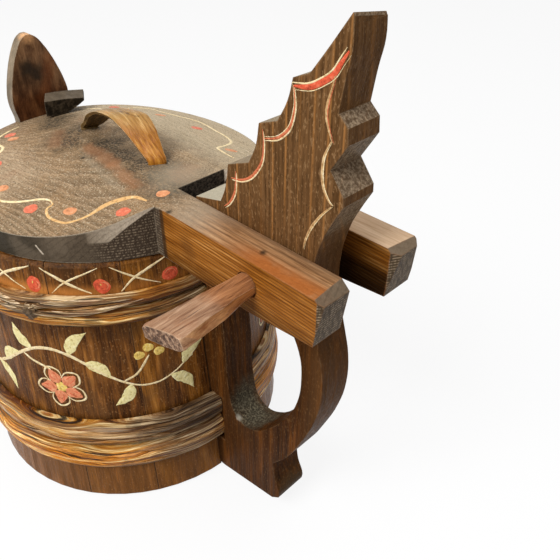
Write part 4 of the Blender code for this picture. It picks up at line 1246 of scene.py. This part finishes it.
def petal_stroke(paints, frame_of_petal, colour, places, width, shape=swelling_width):
    """A stroke on one petal through (share of its reach, share across) places."""
    centre, size, angle = frame_of_petal
    out, side = heading(angle)
    points = [centre + size * (reach * out + across * side) for reach, across in places]
    paints.stroke(colour, points, width, shape, step=0.0008)


def rosette(paints, centre, size, turn):
    """Plain five-petalled rosette with pale rims and a yellow heart."""
    middle = ((0.20, 0.0), (0.62, 0.0), (1.02, 0.0))
    rim = ((0.42, 0.34), (0.85, 0.38), (1.16, 0.0), (0.85, -0.38), (0.42, -0.34))
    for petal in range(5):
        frame_of_petal = (centre, size, turn + tau * petal / 5)
        petal_stroke(paints, frame_of_petal, "coral", middle, 0.64 * size, leaf_width)
        for lean in (-0.12, 0.14):
            vein = ((0.34, 0.3 * lean), (0.60, lean), (0.86, 0.7 * lean))
            petal_stroke(paints, frame_of_petal, "red", vein, 0.0008)
        petal_stroke(paints, frame_of_petal, "cream", rim, 0.0011)
    paints.dab("yellow", centre, 0.27 * size, 0.27 * size, 0.0, turn)
    paints.dab("cream", centre + Vector((0.0004, 0.0005)), 0.11 * size, 0.09 * size, 0.0, turn)


# Vine: first and last angle, clear of the handle board, number of waves, height and swing
VINE_START = 0.30
VINE_END = tau - 0.16
VINE_WAVES = 5
VINE_HEIGHT = 0.0945
VINE_SWING = 0.0125


def vine(share):
    """Point on the vine, from 0 at its start to 1 at its end."""
    angle = VINE_START + (VINE_END - VINE_START) * share
    return Vector((WRAP_RADIUS * angle, VINE_HEIGHT + VINE_SWING * sin(tau * VINE_WAVES * share)))


def paint_vine():
    """Running vine with leaves, rosettes and berries round the middle of the body."""
    paints = Paints("vine", "vessel", on_body)
    count = 24 * VINE_WAVES
    paints.stroke("cream", [vine(index / count) for index in range(count + 1)], 0.0018)
    for index in range(2 * VINE_WAVES):
        share = (index + 0.5) / (2 * VINE_WAVES)
        crest = index % 2 == 0
        bend = vine(share)
        if crest:
            heart = bend + Vector((0.003, -0.0245))
            stem = (vine(share - 0.034), bend + Vector((-0.011, -0.010)), heart + Vector((-0.004, 0.011)))
            paints.stroke("cream", stem, 0.0014)
            rosette(paints, heart, 0.0118, 0.3 + index)
        else:
            tip = bend + Vector((0.001, 0.0190))
            paints.stroke("cream", (vine(share - 0.028), bend + Vector((-0.006, 0.009)), tip), 0.0012)
            for across, rise in ((0.0, 0.0046), (-0.0050, 0.0008), (0.0052, 0.0010)):
                berry = tip + Vector((across, rise))
                paints.dab("yellow", berry, 0.0027, 0.0026, 0.0, index + across)
                paints.dab("cream", berry + Vector((-0.0006, 0.0008)), 0.0009, 0.0006, 0.5, index + across)
        for offset, lean, reach in ((0.021, 0.9, 0.0185), (-0.020, 2.2, 0.0165), (0.036, -0.7, 0.0160)):
            root = vine(share + offset)
            angle = lean if crest else -lean
            out, side = heading(angle)
            blade = (root, root + 0.5 * reach * out + 0.14 * reach * side, root + reach * out)
            paints.stroke("leaf", blade, 0.0066, leaf_width)
            paints.stroke("cream", blade, 0.0011, swelling_width)
    paints.finish()


# Stage, light and camera

# Linear colours
WHITE = (1.0, 1.0, 1.0, 1.0)
FLOOR_LIT = (0.90, 0.90, 0.90, 1.0)
FLOOR_DIM = (0.42, 0.40, 0.38, 1.0)
FLOOR_GLOW = 0.86               # share of the floor's white that no shadow reaches
FLOOR_SIZE = 4.0
SURROUND_LIGHT = 0.40           # strength of the white that lights the tankard from all round
LIGHT_TARGET = Vector((0, 0, 0.12))

# Name, place, size and power of each lamp
LAMPS = (("key", (0.05, -1.00, 1.20), 0.7, 20.0), ("top", (0.10, 0.30, 1.70), 1.2, 7.0))


def white_rays(tree):
    """1 for rays from the camera and for what gloss or glass shows of the surround."""
    path = tree.nodes.new("ShaderNodeLightPath")
    rays = path.outputs["Is Camera Ray"]
    for kind in ("Is Glossy Ray", "Is Transmission Ray"):
        rays = add_node(tree, "ShaderNodeMath", {0: rays, 1: path.outputs[kind]}, operation="MAXIMUM")
    return rays


def make_stage():
    """Pale floor that keeps the tankard's shadow and looks white to the camera."""
    bm = bmesh.new()
    bmesh.ops.create_grid(bm, x_segments=8, y_segments=8, size=FLOOR_SIZE)
    mesh = bpy.data.meshes.new("floor")
    bm.to_mesh(mesh)
    bm.free()
    floor = add_object("floor", mesh)

    material = bpy.data.materials.new("floor_white")
    material.use_nodes = True
    mesh.materials.append(material)
    tree = material.node_tree
    tree.nodes.remove(tree.nodes["Principled BSDF"])
    matt = add_node(tree, "ShaderNodeBsdfDiffuse", {"Color": FLOOR_LIT})
    dim = add_node(tree, "ShaderNodeBsdfDiffuse", {"Color": FLOOR_DIM})
    white = add_node(tree, "ShaderNodeEmission", {"Color": WHITE, "Strength": 1.0})
    lit = add_node(tree, "ShaderNodeMixShader", {0: FLOOR_GLOW, 1: matt, 2: white})
    seen = add_node(tree, "ShaderNodeMixShader", {0: white_rays(tree), 1: dim, 2: lit})
    feed(tree, tree.nodes["Material Output"].inputs["Surface"], seen)


def make_light():
    """Soft overhead studio light with a pale surround that looks white to the camera."""
    world = bpy.data.worlds.new("studio")
    world.use_nodes = True
    bpy.context.scene.world = world
    tree = world.node_tree
    tree.nodes.remove(tree.nodes["Background"])
    surround = add_node(tree, "ShaderNodeBackground", {"Color": WHITE, "Strength": SURROUND_LIGHT})
    white = add_node(tree, "ShaderNodeBackground", {"Color": WHITE, "Strength": 1.0})
    seen = add_node(tree, "ShaderNodeMixShader", {0: white_rays(tree), 1: surround, 2: white})
    feed(tree, tree.nodes["World Output"].inputs["Surface"], seen)
    for name, place, size, power in LAMPS:
        lamp = bpy.data.lights.new(name, "AREA")
        lamp.size = size
        lamp.energy = power
        holder = add_object(name, lamp)
        holder.location = place
        aim = LIGHT_TARGET - Vector(place)
        holder.rotation_euler = aim.to_track_quat("-Z", "Y").to_euler()


def make_camera():
    """Camera fitted to the photo."""
    camera = bpy.data.cameras.new("camera")
    camera.sensor_width = SENSOR_WIDTH
    camera.lens = CAMERA_LENS
    holder = add_object("camera", camera)
    backward = CAMERA_RIGHT.cross(CAMERA_UP)
    turn = Matrix((CAMERA_RIGHT, CAMERA_UP, backward)).transposed().to_4x4()
    turn.translation = CAMERA_PLACE
    holder.matrix_world = turn
    bpy.context.scene.camera = holder


# Amber share of each stave
AMBER_SHARES = (0.5, 0.2, 0.7, 0.1, 0.4, 0.2, 0.6, 0.1, 0.5, 0.2, 0.5, 0.3, 0.15, 0.85)

# Middle, bright and dull tone of each paint
PAINT_TONES = {
    "cream": ((238, 216, 168), (250, 236, 202), (200, 168, 118)),
    "leaf": ((236, 222, 160), (250, 240, 196), (196, 176, 112)),
    "yellow": ((236, 202, 108), (250, 226, 150), (190, 154, 70)),
    "coral": ((222, 136, 96), (236, 164, 122), (184, 98, 62)),
    "orange": ((214, 144, 98), (226, 168, 126), (176, 116, 78)),
    "rust": ((206, 112, 74), (226, 146, 108), (158, 82, 50)),
    "tan": ((196, 156, 106), (220, 190, 142), (146, 108, 66)),
    "red": ((218, 90, 58), (234, 122, 88), (172, 68, 44)),
    "rubbed_red": ((218, 112, 82), (234, 146, 112), (182, 104, 76)),
    "ochre": ((218, 172, 112), (236, 206, 154), (178, 132, 82)),
}

for number, (node, amber_share) in enumerate(zip(STAVES, AMBER_SHARES), start=1):
    dress(node, stave_look(number, amber_share))
dress("bottom_disc", bottom_look())
dress("handle_board", board_look())
dress("lid", lid_look())
dress("lid_tongue", tongue_look())
dress("tongue_key", key_look())
PAINTS = {name: paint_look(f"paint_{name}", *tones) for name, tones in PAINT_TONES.items()}
make_hoops()
make_strap()
make_pin()
make_seams()
paint_lid()
paint_board()
paint_band()
paint_vine()
make_stage()
make_light()
make_camera()
bpy.context.scene.view_settings.view_transform = "Standard"
